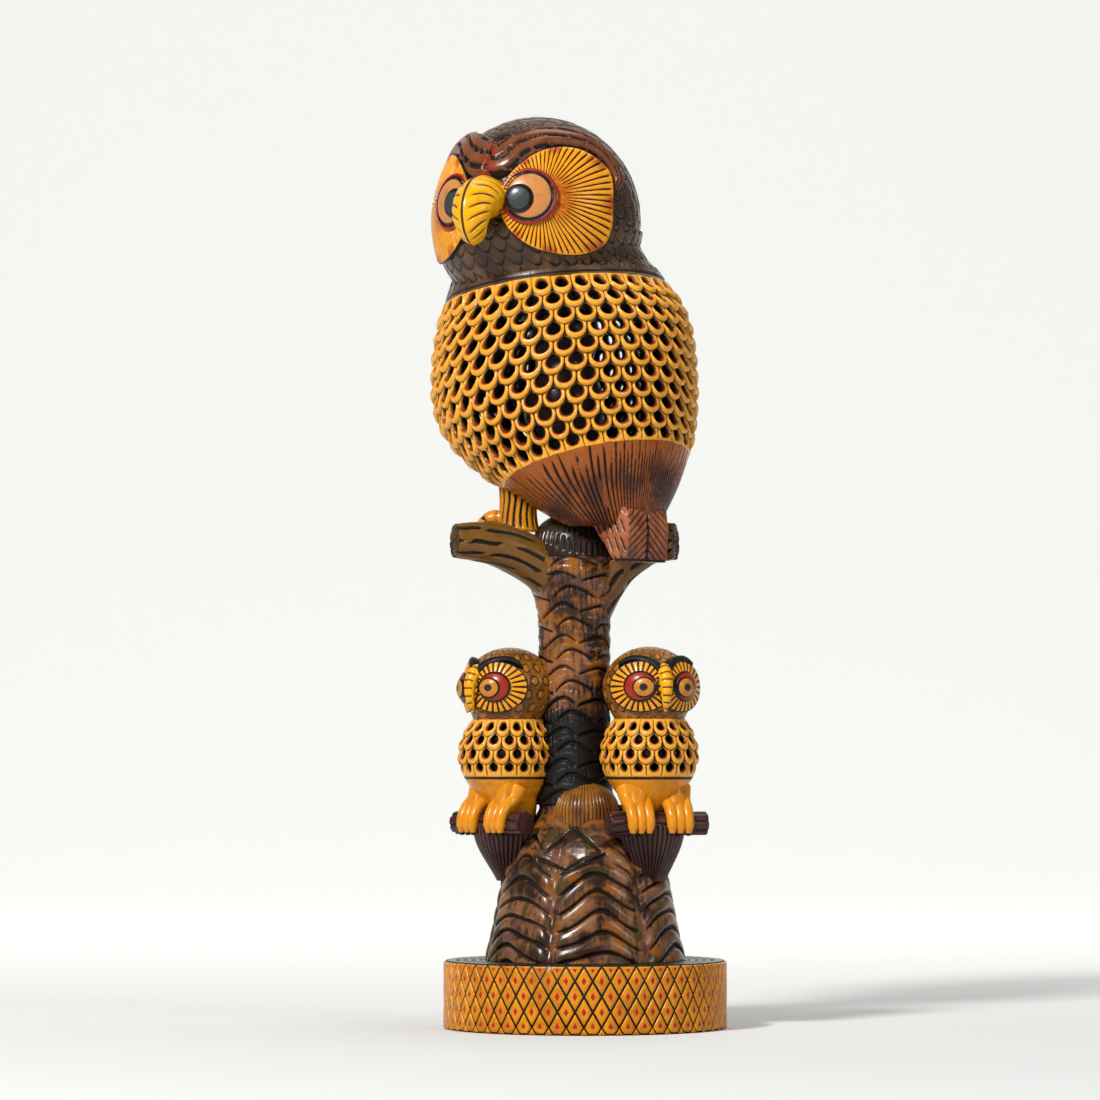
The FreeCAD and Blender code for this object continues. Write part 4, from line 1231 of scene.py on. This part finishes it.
class OWL_OT_tree(Carve):
    """Carves the trunk, its branches and the crown between them"""
    bl_idname = "owl.tree"
    bl_label = "Tree"

    def carve(self, sizes, paint):
        stand = np.array([-4.3, -1.0, 0]) * MM
        rows, columns = 200, 288
        heights = np.linspace(STUMP_TOP, TRUNK_TOP, rows) * MM
        path = upright(heights, stand)
        radii = skin(["tree_trunk"], path[::5], 72, start=(1, 0, 0))
        radii = np.stack([np.interp(heights, path[::5, 2], radii[:, c]) for c in range(72)], 1)
        radii = np.repeat(radii, 4, axis=1)
        radii = (radii + np.roll(radii, 2, 1) + np.roll(radii, 4, 1) + np.roll(radii, -2, 1)) / 4

        def chips(along, spin):
            z = along * (TRUNK_TOP - STUMP_TOP)
            lean = 1.6 * np.sin(spin * 2 + 0.8) + 0.9 * np.sin(spin * 5)
            course = (z + lean) / 6.4
            odd = np.floor(course) % 2
            place = course % 1
            wide = np.mod(spin / TAU * 5 + 0.5 * odd + 0.09 * np.sin(np.floor(course) * 3.1), 1) - 0.5
            bowl = place - 0.55 * (1 - (2 * wide) ** 2) - 0.12
            cut = ridge(bowl, 0.085 * (1.25 - np.abs(wide))) * between(np.abs(wide), -1, 0.46, 0.015)
            hollow = np.clip(bowl, 0, 1) * between(bowl, 0.02, 1, 0.05)
            tick = ridge(np.mod(spin / TAU * 46 + z / 23, 1) - 0.5, 0.10)
            tick = tick * (wave(spin * 7 + z / 5, z / 3) > 0.25)
            cut = np.clip(cut + 0.5 * tick, 0, 1)
            # Cut marks plus painted shade: the trunk darkens towards its bottom, between the small owls, where
            # shadow falls.
            black_and_shade = np.clip(cut + 0.85 * np.clip((54 - z) / 22, 0, 1), 0, 1)
            return ((-1.5 * cut + 0.6 * hollow) * MM,
                    {"cut": black_and_shade,
                     "crest": np.clip(hollow * 1.4, 0, 1) * (0.45 + 0.4 * wave(spin * 2 + z / 12, z / 14))})

        points, marks = tube(path, np.ones(rows), columns, lambda a, t: (0, chips(a, t)[1]), start=(1, 0, 0))
        along, spin = np.linspace(0, 1, rows)[:, None] + 0 * radii, around(columns)[None, :] + 0 * radii
        height = chips(along, spin)[0]
        points = path[:, None, :] + (points - path[:, None, :]) * (radii + height)[..., None]
        show(sleeve("trunk", points, marks, paint["bark"]), "tree", "tree_trunk")

        middle = middle_of("tree_crown")
        spots = np.array([(18.4, 190), (18.2, 196), (17.4, 202), (14.5, 207.5), (9.6, 211.2), (3, 212.5)]) * MM
        line = smooth_path(spots, 60)
        turn = around(240)
        climb = np.linspace(0, 1, 60)[:, None]
        comb = past(np.cos(turn * 44)[None, :], 0.1, 0.6) * between(climb, 0.05, 0.95, 0.02)
        comb = comb * (np.sin(climb * 24 + 2 * np.sin(turn * 3)) > -0.6)
        points = middle + way(turn)[None] * (line[:, :1] - 0.8 * MM * comb)[..., None]
        points[..., 2] = line[:, 1:] + 0 * comb
        show(sleeve("crown", points, carved(comb, 0.4), paint["crown"]),
             "tree", "tree_crown")

        for label, bearing, length, thick, swell in (("left", -57, 56.5, 7.0, 3), ("right", 90, 38.5, 7.6, 1.5),
                                                     ("back", 172, 38.0, 7.0, 2)):
            out = way(np.array(math.radians(bearing)))
            spots = np.array([(0.05, 172), (0.2, 183), (0.38, 192), (0.66, 199), (0.84, 200.3), (1.0, 200.5)])
            line = smooth_path(spots, 120)
            path = (out * line[:, :1] * length + np.array([0, 0, 1]) * line[:, 1:]) * MM
            radii = taper(120, [0, 0.4, 0.7, 1], [thick + swell, thick + swell, thick + 0.6 * swell, thick])

            def grooves(along, spin):
                lines = np.cos(spin * 9 + 2.4 * np.sin(along * 4 + spin) + 0.5 * np.sin(along * 21))
                cut = past(lines, 0.45, 0.4) * (np.sin(along * 19 + spin * 4) > -0.75)
                return -1.1 * MM * cut, carved(cut, 0.75)

            points, marks = tube(path, radii, 140, grooves)
            shares = np.linspace(0.97, 0.05, 26)
            end = points[-1].mean(0)
            rings = np.cos(shares * 30)
            face = end + (points[-1] - end)[None] * shares[:, None, None]
            face = face + out * (0.3 * rings * MM)[:, None, None]
            edge = points.shape[0]
            points = np.concatenate([points, face])
            for key in marks:
                marks[key] = np.concatenate([marks[key], np.zeros((26, 140))])
            marks["cut"][edge:] = np.clip(-rings, 0, 1)[:, None] * 0.8
            marks["crest"][edge:] = np.clip(rings, 0, 1)[:, None] * 0.4
            show(sleeve(f"limb_{label}", points, marks, paint["branch"]), "branch", f"branch_{label}")


class OWL_OT_stump(Carve):
    """Carves the lobed stump and its arched grooves, and the corbels under the perches"""
    bl_idname = "owl.stump"
    bl_label = "Stump"

    def carve(self, sizes, paint):
        rows, columns = 170, 480
        heights = np.linspace(STUMP_FOOT, STUMP_TOP, rows) * MM
        path = upright(heights)
        radii = fine_skin("tree_stump", path, slice(3, -3, 6), 96, columns)
        turn = around(columns)
        aim = tube(path, np.ones(rows), columns, start=(1, 0, 0))[0] - path[:, None, :]
        bearing = np.arctan2(aim[..., 0], -aim[..., 1])
        z = (heights[:, None] / MM) + 0 * bearing
        girth = np.interp(heights / MM, [28, 40, 66, 76, 84, 92], [41.5, 38.5, 33.5, 27, 21, 17])[:, None] * MM
        radii = np.maximum(radii, girth)
        lobe = np.mod((bearing + 0.115) / TAU * 6, 1) - 0.5
        arch = z - STUMP_FOOT - 9 * np.cos(math.pi * lobe) * (1 + 0.15 * np.sin(bearing * 2 + z / 9))
        arch = arch + 0.5 * np.sin(bearing * 11)
        course = arch / 7.3
        course = course + 0.10 * np.sin(bearing * 9 + np.floor(course))
        cut = ridge(np.mod(course, 1) - 0.5, 0.105 * (1.2 - np.abs(lobe)))
        cut = cut * between(np.abs(lobe), -1, 0.44, 0.012)
        valley = ridge(np.abs(lobe) - 0.5, 0.06)
        across = radii / MM * np.sin(bearing - VIEW_TURN)
        front = between(np.cos(bearing - VIEW_TURN), 0.35, 2, 0.03)
        smooth = front * between(z, 70 - 0.012 * (across + 5) ** 2, 99, 0.8) * between(across, -17, 12, 1.5)
        cut = cut * (1 - smooth)
        crossed = (((-14, 90), (6, 73)), ((5, 90), (-16, 73)), ((-19, 70), (-7.5, 65)), ((-7.5, 65), (8, 72)))
        for a, b in crossed:
            a, b = np.array(a, float), np.array(b, float)
            share = ((across - a[0]) * (b - a)[0] + (z - a[1]) * (b - a)[1]) / ((b - a) @ (b - a))
            share = np.clip(share, 0, 1)
            away = np.hypot(across - a[0] - share * (b - a)[0], z - a[1] - share * (b - a)[1])
            cut = np.maximum(cut, ridge(away, 0.5 + 0.8 * (0.5 - np.abs(share - 0.5))) * front)
        cut = np.clip(cut, 0, 1)
        pad = 0.5 + 0.5 * np.cos(TAU * np.mod(course, 1))
        height = (-1.6 * cut + 0.4 * pad * (1 - smooth) - 1.2 * valley) * MM
        points = path[:, None, :] + aim * (radii + height)[..., None]
        worn = (0.15 + 0.6 * pad ** 3) * (1 - cut) * (0.55 + 0.45 * wave(bearing * 3, z / 9))
        marks = {"cut": cut, "crest": worn}
        show(sleeve("stump", points, marks, paint["root"]), "tree", "tree_stump")
        toward = way(np.array(VIEW_TURN)) * 8 * MM
        lift = np.radians(np.linspace(-35, 88, 60))
        comb = np.clip(np.cos(turn * 52)[None, :] - 0.1, 0, 1) * (lift[:, None] < 1.35)
        dome = way(turn)[None] * (np.cos(lift)[:, None] * (14.5 * MM - 0.5 * MM * comb))[..., None]
        dome[..., 2] = np.sin(lift)[:, None] * 14 * MM + 88 * MM
        show(sleeve("tuft", dome + toward, {"cut": comb * 0.8, "crest": 0.3 * (1 - comb)},
                    paint["sawn"]), "tree")
        for side in ("left", "right"):
            low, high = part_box(f"{side}_perch_corbel")
            axis = middle_of(f"{side}_perch_corbel")
            heights = np.linspace(low[2] + 0.6 * MM, high[2] - 0.6 * MM, 60)
            path = upright(heights, axis)
            radii = fine_skin(f"{side}_perch_corbel", path, slice(None, None, 4), 120, 240)
            turn = around(240)
            aim = tube(path, np.ones(60), 240, start=(1, 0, 0))[0] - path[:, None, :]
            flute = past(np.cos(turn * 40), 0.1, 0.6)[None, :] + 0 * radii
            points = path[:, None, :] + aim * (radii - 0.7 * MM * flute)[..., None]
            marks = carved(flute, 0.4)
            show(sleeve(f"{side}_corbel", points, marks, paint["perch"]), "tree", f"{side}_perch_corbel")


class OWL_OT_base(Carve):
    """Carves the round base with its diamond rim"""
    bl_idname = "owl.base"
    bl_label = "Base"

    def carve(self, sizes, paint):
        low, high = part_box("base_disc")
        radius, rise = (high[0] - low[0]) / 2, high[2]
        profile = [(radius - 0.8 * MM, 0.05 * MM), (radius - 0.7 * MM, rise - 0.5 * MM),
                   (radius - 1.2 * MM, rise)]
        inner = np.linspace(radius - 2 * MM, 24 * MM, 100)
        reach = np.concatenate([[p[0] for p in profile], inner])
        z = np.concatenate([[p[1] for p in profile], rise + 0 * inner])
        turn = around(440)
        ring = (inner[:, None] / MM) / 3.2
        dash = turn[None, :] * 24 / TAU * np.maximum(1, np.round(ring / 4)) + 0.5 * (np.floor(ring) % 2)
        dash = np.mod(dash, 1)
        groove = ridge(np.mod(ring, 1) - 0.5, 0.2) * between(dash, 0.1, 0.72, 0.03)
        groove = groove * (inner[:, None] < radius - 4 * MM)
        cut = np.concatenate([np.ones((3, 440)), groove])
        crest = np.concatenate([np.zeros((3, 440)), 0.5 * (1 - groove)])
        points = way(turn)[None] * reach[:, None, None]
        points[..., 2] = z[:, None] - 0.6 * MM * np.concatenate([np.zeros((3, 440)), groove])
        core = sleeve("base_core", points, {"cut": cut, "crest": crest}, paint["moss"])

        count, height = sizes.diamonds, rise
        pitch = TAU * radius / count
        row = height / 4.5
        verts, faces, marks = [], [], {"cut": [], "crest": [], "tint": []}
        gap = sizes.diamond_gap
        for number in range(6):
            level = -number * row
            shift = 0.5 + 0.5 * (number % 2)
            outline = [(0.5, 0), (0, row), (-0.5, 0), (0, -row)]
            shape = []
            for k in range(4):
                a, b = outline[k], outline[(k + 1) % 4]
                for t in np.linspace(0, 1, 5)[:-1]:
                    shape.append((a[0] + (b[0] - a[0]) * t, a[1] + (b[1] - a[1]) * t))
            clipped = [(u, min(max(v, -height - level + 0.3 * MM), -level - 0.3 * MM)) for u, v in shape]
            tall = max(v for u, v in clipped) - min(v for u, v in clipped)
            if tall < 1.5 * MM:
                continue
            scale = 1 - gap / (0.87 * pitch)
            foot, plain, worn = {"cut": 1, "crest": 0, "tint": 0}, {"cut": 0, "crest": 0.5, "tint": 0}, {
                "cut": 0, "crest": 0.95, "tint": 0}
            dot = {"cut": 0.0, "crest": 0, "tint": 1}
            small = np.mean([v for u, v in clipped])
            body = [(u, (v - small) / height) for u, v in clipped]
            plate(verts, faces, marks, (shift, (level + small) / height), body,
                  [(scale, -0.5 * MM, foot), (scale, 0.45 * MM, worn), (scale * 0.86, 0.8 * MM, plain),
                   (scale * 0.34, 0.8 * MM, plain), (scale * 0.29, 0.75 * MM, dot),
                   (scale * 0.03, 0.75 * MM, dot)])
        strip = solid("strip", verts, faces, marks, None)
        extra, columns = 8, 120
        across = np.arange(-extra, columns + extra + 1) / columns
        down = np.array([-1.0, -0.5, 0.0])[:, None] + 0 * across
        spots = way(across[None, :] * TAU + 0 * down) * (radius - 0.8 * MM)
        spots[..., 2] = rise * (1 + down)
        ground = chart(spots, across[None, :] + 0 * down, down)
        rim = wrapped("diamonds", ground, strip, count, paint["base"], 0.25 * MM, 5)
        show(core, "base", "base_disc")
        show(rim, "base")


class OWL_OT_owlets(Carve):
    """Carves the two small owls with their perches"""
    bl_idname = "owl.owlets"
    bl_label = "Small Owls"

    def carve(self, sizes, paint):
        for side, turn in (("left", -OWLET_TURN), ("right", OWLET_TURN)):
            self.owlet(side, turn, sizes, paint)

    def owlet(self, side, facing, sizes, paint):
        node = f"{side}_owlet_"
        middle = middle_of(node + "head", OWLET_EYES)
        form = Turned([node + "belly", node + "jali"], OWLET_FOOT, OWLET_NAPE - 0.2 * MM, 24)
        floor, roof = np.array([OWLET_WAIST, 0, 0]), np.array([OWLET_NAPE, 0, 0])
        pitch = TAU * 20 * MM / sizes.owlet_holes
        row = 25 * MM / (sizes.owlet_rows - 1 + 1.24)
        strip = lattice_strip(sizes.owlet_rows, 0.62, pitch, row, 1.95 * MM, 3.2 * MM, 0.45 * MM)
        ground = wrap_form(form, roof, floor, 20, 96)
        jali = wrapped(f"{side}_jali", ground, strip, sizes.owlet_holes, paint["jali"], 0.4 * MM, 11, 0.03 * MM)
        show(jali, "jali", node + "jali")

        spin = around(96)
        z = np.linspace(OWLET_FOOT, OWLET_WAIST + 0.4 * MM, 18)[:, None] + 0 * spin
        spots = form.point(spin[None, :] + 0 * z, z)
        rim = ridge(z - 103 * MM, 0.7 * MM)
        sink = np.linspace(0.25, 0.95, 8)[:, None, None]
        skirt = spots[:1] + (spots[:1].mean(1, keepdims=True) - spots[:1]) * (1 - sink) * 0.5
        skirt = skirt - way(np.array(facing)) * (1 - sink) * 6 * MM - np.array([0, 0, 1]) * (1 - sink) * 15 * MM
        spots, rim = np.concatenate([skirt, spots]), np.concatenate([0 * skirt[..., 0], rim])
        belly = sleeve(f"{side}_belly", spots, {"cut": rim, "crest": 0.6 + 0 * rim}, paint["face"])
        show(belly, "face", node + "belly")

        radius, rise = 19 * MM, 17 / 19
        at = ball(middle, radius, facing, rise)
        lift = np.radians(np.linspace(-46, 89, 90))
        round_way = around(200)
        rays = (way(round_way)[None] * np.cos(lift)[:, None, None])
        rays[..., 2] = np.sin(lift)[:, None]
        course = lift[:, None] / 0.34
        dots = np.mod(round_way[None, :] / TAU * 18 + 0.5 * (np.floor(course) % 2), 1) - 0.5
        oval = np.hypot(dots / 0.30, (np.mod(course, 1) - 0.5) / 0.34)
        ring = ridge(oval - 1, 0.16) * (lift[:, None] < 1.2)
        spots = middle + rays * (radius - 0.6 * MM * ring)[..., None] * np.array([1, 1, rise])
        below = np.clip((np.radians(-24) - lift) / np.radians(22), 0, 1)[:, None, None]
        collar = form.point(round_way, np.full(200, OWLET_NAPE), -0.6 * MM)[None]
        nape = np.argmin(np.abs(lift - np.radians(-24)))
        spots = np.where(below > 0, spots[nape] + (collar - spots[nape]) * below, spots)
        crest = 0.7 * (1 - ring) * (oval < 1) + 0.1
        head = sleeve(f"{side}_head", spots, {"cut": ring, "crest": crest}, paint["sawn"])
        show(head, "feather", node + "head")

        parts = []
        for mirror in (1, -1):
            place = at(mirror * OWLET_EYE_OUT, OWLET_EYE_RISE)

            def rays_of(q, turn):
                groove = past(np.cos(turn * 26), 0.15, 0.5) * between(q, 0.55, 0.95, 0.012)
                edge = between(q, 0.965, 3, 0.006)
                return -0.5 * MM * groove, {"cut": np.clip(groove + edge, 0, 1), "crest": 0.8 * (1 - groove)}

            parts.append(shield("disc", place, lambda turn: (12.2 + 1.0 * np.cos(2 * turn)) * MM,
                                lambda q: (0.9 + 1.1 * q ** 2) * MM, rays_of, paint["face"], 260))
        show(join(f"{side}_face", parts), "face", node + "face")
        brows = []
        for mirror, label in ((1, "left"), (-1, "right")):
            place = at(mirror * OWLET_EYE_OUT, OWLET_EYE_RISE)
            eye = shield(f"{side}_eye_{label}", place, lambda turn: 6.6 * MM + 0 * turn,
                         lambda q: (2.7 - 0.9 * q ** 3) * MM, plain_rings,
                         paint["owlet_eye"], 90)
            iris = shield("iris", place, lambda turn: 4.2 * MM + 0 * turn, lambda q: (3.6 - 0.8 * q ** 3) * MM,
                          plain_rings, paint["owlet_iris"], 72,
                          (-1.6 * MM * mirror, -0.4 * MM))
            show(join(f"{side}_eye_{label}", [eye, iris]), "eye", f"{node}eye_{label}")
            path = np.array([(-9.9, 2), (-8.0, 7.5), (-3, 11.8), (5, 13.0), (11, 9.5)]) * MM
            path = path * np.array([mirror, 1])

            def plain(along, spread):
                line = np.clip(between(np.abs(spread), 0.72, 3, 0.05), 0, 1)
                return -0.3 * MM * line, {"cut": 1 - line * 0, "crest": 0 * line}

            brows.append(band_of("brow", place, path, np.array([3.4, 4.6, 4.4, 3.4, 1.4]) * MM, 2.6 * MM, plain,
                                 paint["black"], 60, 14))
        show(join(f"{side}_brows", brows), "feather")

        stand = Stand(middle, facing)
        spots = smooth_path([(13, 146), (18.2, 146.8), (21.3, 142.5), (21.8, 136), (20.2, 130)], 60) * MM
        path = stand.point(spots[:, 0], 0 * spots[:, 0], spots[:, 1])
        radii = taper(60, [0, 0.2, 0.5, 0.85, 1], [2.2, 2.9, 2.8, 1.7, 0.4])

        def strokes(along, spin):
            off = np.abs(np.angle(np.exp(1j * (spin - math.pi))))
            cut = ridge(np.mod(along * 9, 1) - 0.5, 0.11) * (off < 1.3)
            return -0.4 * MM * cut, carved(cut, 0.7)

        beak = rod(f"{side}_beak", path, radii, 72, strokes, paint["beak"], start=(0, 0, -1))
        show(beak, "beak", node + "beak")

        spot = np.mean(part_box(f"{side}_perch"), axis=0)
        ends = np.linspace(-21, 21, 80) * MM
        across = way(np.array(facing + math.pi / 2))
        path = spot + across * ends[:, None]

        def bark(along, spin):
            cut = past(np.cos(spin * 7 + 3 * np.sin(along * 5)), 0.5, 0.4)
            return -0.5 * MM * cut, {"cut": cut * 0.8, "crest": 0.4 * (1 - cut)}

        points, marks = tube(path, np.full(80, 4.9 * MM), 80, bark, start=(0, 0, 1))
        shares = np.linspace(0.93, 0.05, 12)
        for end in (0, -1):
            middle_end = points[end].mean(0)
            face = middle_end + (points[end] - middle_end)[None] * shares[:, None, None]
            blank = np.repeat(0.25 + 0.25 * np.cos(shares * 22)[:, None], 80, axis=1)
            sides = [(face[::-1], points), (points, face)][0 if end == 0 else 1]
            points = np.concatenate(sides)
            for key in marks:
                extra = blank[::-1] if end == 0 else blank
                marks[key] = np.concatenate([extra, marks[key]] if end == 0 else [marks[key], extra])
        show(sleeve(f"{side}_bar", points, marks, paint["perch"]), "perch", f"{side}_perch")

        def nail(along, spin):
            return 0, {"cut": ridge(along - 0.98, 0.03), "crest": 0.8 + 0 * along}

        def rubbed(along, spin):
            return 0, {"cut": 0 * along, "crest": 0.6 + 0 * along}

        for label in ("left", "right"):
            toes = []
            foot = middle_of(f"{node}foot_{label}")
            here = Stand(foot, facing)
            for number in (-1, 0, 1):
                line = smooth_path([(-4.5, 99), (-2.0, 94.5), (2.2, 91), (4.9, 86), (4.9, 79.5)], 36) * MM
                path = here.point(line[:, 0], number * 3.5 * MM + 0 * line[:, 0], line[:, 1])
                radii = taper(36, [0, 0.4, 0.85, 1], [4.2, 2.7, 2.2, 0.8])
                toes.append(rod("toe", path, radii, 32, nail, paint["foot"]))
            line = smooth_path([(-4, 101), (-2.5, 96), (-0.5, 91), (1.5, 87)], 24) * MM
            path = here.point(line[:, 0], 0 * line[:, 0], line[:, 1])
            toes.append(rod("thigh", path, np.linspace(5.8, 4.6, 24) * MM, 48, rubbed, paint["foot"]))
            show(join(f"{side}_foot_{label}", toes), "foot", f"{node}foot_{label}")


class OWL_OT_hidden(Carve):
    """Stains the solids that show only through the holes"""
    bl_idname = "owl.hidden"
    bl_label = "Insides"

    def carve(self, sizes, paint):
        for name in ("inner_owl", "left_owlet_core", "right_owlet_core"):
            stain(name, paint["inside"])


class OWL_OT_stage(bpy.types.Operator):
    """Sets the pale floor, the soft light and the camera"""
    bl_idname = "owl.stage"
    bl_label = "Stage"
    bl_options = {"REGISTER", "UNDO"}

    def execute(self, context):
        pale = Paint("pale_floor")
        behind = way(np.array(VIEW_TURN)) * -1
        depth = pale.node("ShaderNodeVectorMath", {"operation": "DOT_PRODUCT"}, [pale.place, tuple(behind)],
                          "Value")
        glow = depth.steps(-0.3, 1.3)
        pale.feed(pale.shader.inputs["Emission Color"], pale.mix(glow, (0.0, 0.0, 0.0), (0.555, 0.56, 0.535)))
        pale.shader.inputs["Emission Strength"].default_value = 1.0
        pale.finish((0.65, 0.655, 0.635), 0.9, coat=0)
        bend = np.linspace(0, math.pi / 2, 30)
        curve = np.stack([2 + 1.8 * np.sin(bend), 1.8 - 1.8 * np.cos(bend)], -1)
        sweep = np.vstack([[(-6, 0)], curve, [(3.8, 5)]])
        stand = Stand((0, 0), VIEW_TURN)
        sides = np.linspace(-2.5, 2.5, 3)
        points = np.stack([stand.point(-sweep[:, 0], side + 0 * sweep[:, 0], sweep[:, 1]) for side in sides])
        floor = solid("floor", points, grid_faces(3, len(sweep), False), {}, pale.material)
        world = context.scene.world or bpy.data.worlds.new("World")
        context.scene.world = world
        world.use_nodes = True
        world.node_tree.nodes["Background"].inputs[0].default_value = (0.96, 0.975, 1.0, 1)
        world.node_tree.nodes["Background"].inputs[1].default_value = 0.22
        context.scene.view_settings.view_transform = "Standard"
        lamps = (("key", 1.5, -1.0, 1.5, 56, 0.35), ("fill", 1.5, 1.6, 0.9, 9, 0.5),
                 ("top", -0.2, 0.3, 2.2, 12, 1.0))
        for name, ahead, left, up, power, size in lamps:
            light = bpy.data.lights.new(name, "AREA")
            light.energy = power
            light.size = size
            lamp = bpy.data.objects.new(name, light)
            spot = stand.point(np.array(ahead), np.array(left), np.array(up))
            lamp.location = spot
            lamp.rotation_euler = (Vector((0, 0, 0.2)) - Vector(spot)).to_track_quat("-Z", "Y").to_euler()
            context.collection.objects.link(lamp)
        camera = bpy.data.cameras.new("camera")
        camera.lens = 150
        camera.clip_end = 30
        seat = bpy.data.objects.new("camera", camera)
        seat_side, seat_ahead, seat_height, aim_height = -0.0145, 1.9, 0.108, 0.1975
        eye = stand.point(np.array(seat_ahead), np.array(seat_side), np.array(seat_height))
        aim = stand.point(np.array(0.0), np.array(seat_side), np.array(aim_height))
        seat.location = eye
        seat.rotation_euler = (Vector(aim) - Vector(eye)).to_track_quat("-Z", "Y").to_euler()
        context.collection.objects.link(seat)
        context.scene.camera = seat
        return {"FINISHED"}


PIECES = (OWL_OT_lattice, OWL_OT_belly, OWL_OT_tail, OWL_OT_head, OWL_OT_face, OWL_OT_legs, OWL_OT_tree,
          OWL_OT_stump, OWL_OT_base, OWL_OT_owlets, OWL_OT_hidden, OWL_OT_stage)


class OWL_PT_panel(bpy.types.Panel):
    """The figurine's sizes, lacquers and carving steps"""
    bl_idname = "OWL_PT_panel"
    bl_label = "Carved Owl"
    bl_space_type = "VIEW_3D"
    bl_region_type = "UI"
    bl_category = "Owl"

    def draw(self, context):
        for group in (context.scene.owl_sizes, context.scene.owl_colours):
            box = self.layout.box()
            for name in group.bl_rna.properties.keys():
                if name not in ("rna_type", "name"):
                    box.prop(group, name)
        for piece in PIECES:
            self.layout.operator(piece.bl_idname)


CLASSES = (OwlSizes, OwlColours, *PIECES, OWL_PT_panel)


def register():
    for item in CLASSES:
        bpy.utils.register_class(item)
    bpy.types.Scene.owl_sizes = PointerProperty(type=OwlSizes)
    bpy.types.Scene.owl_colours = PointerProperty(type=OwlColours)


def unregister():
    del bpy.types.Scene.owl_colours
    del bpy.types.Scene.owl_sizes
    for item in reversed(CLASSES):
        bpy.utils.unregister_class(item)


def main():
    register()
    for piece in PIECES:
        area, action = piece.bl_idname.split(".")
        getattr(getattr(bpy.ops, area), action)()


if __name__ == "__main__":
    main()
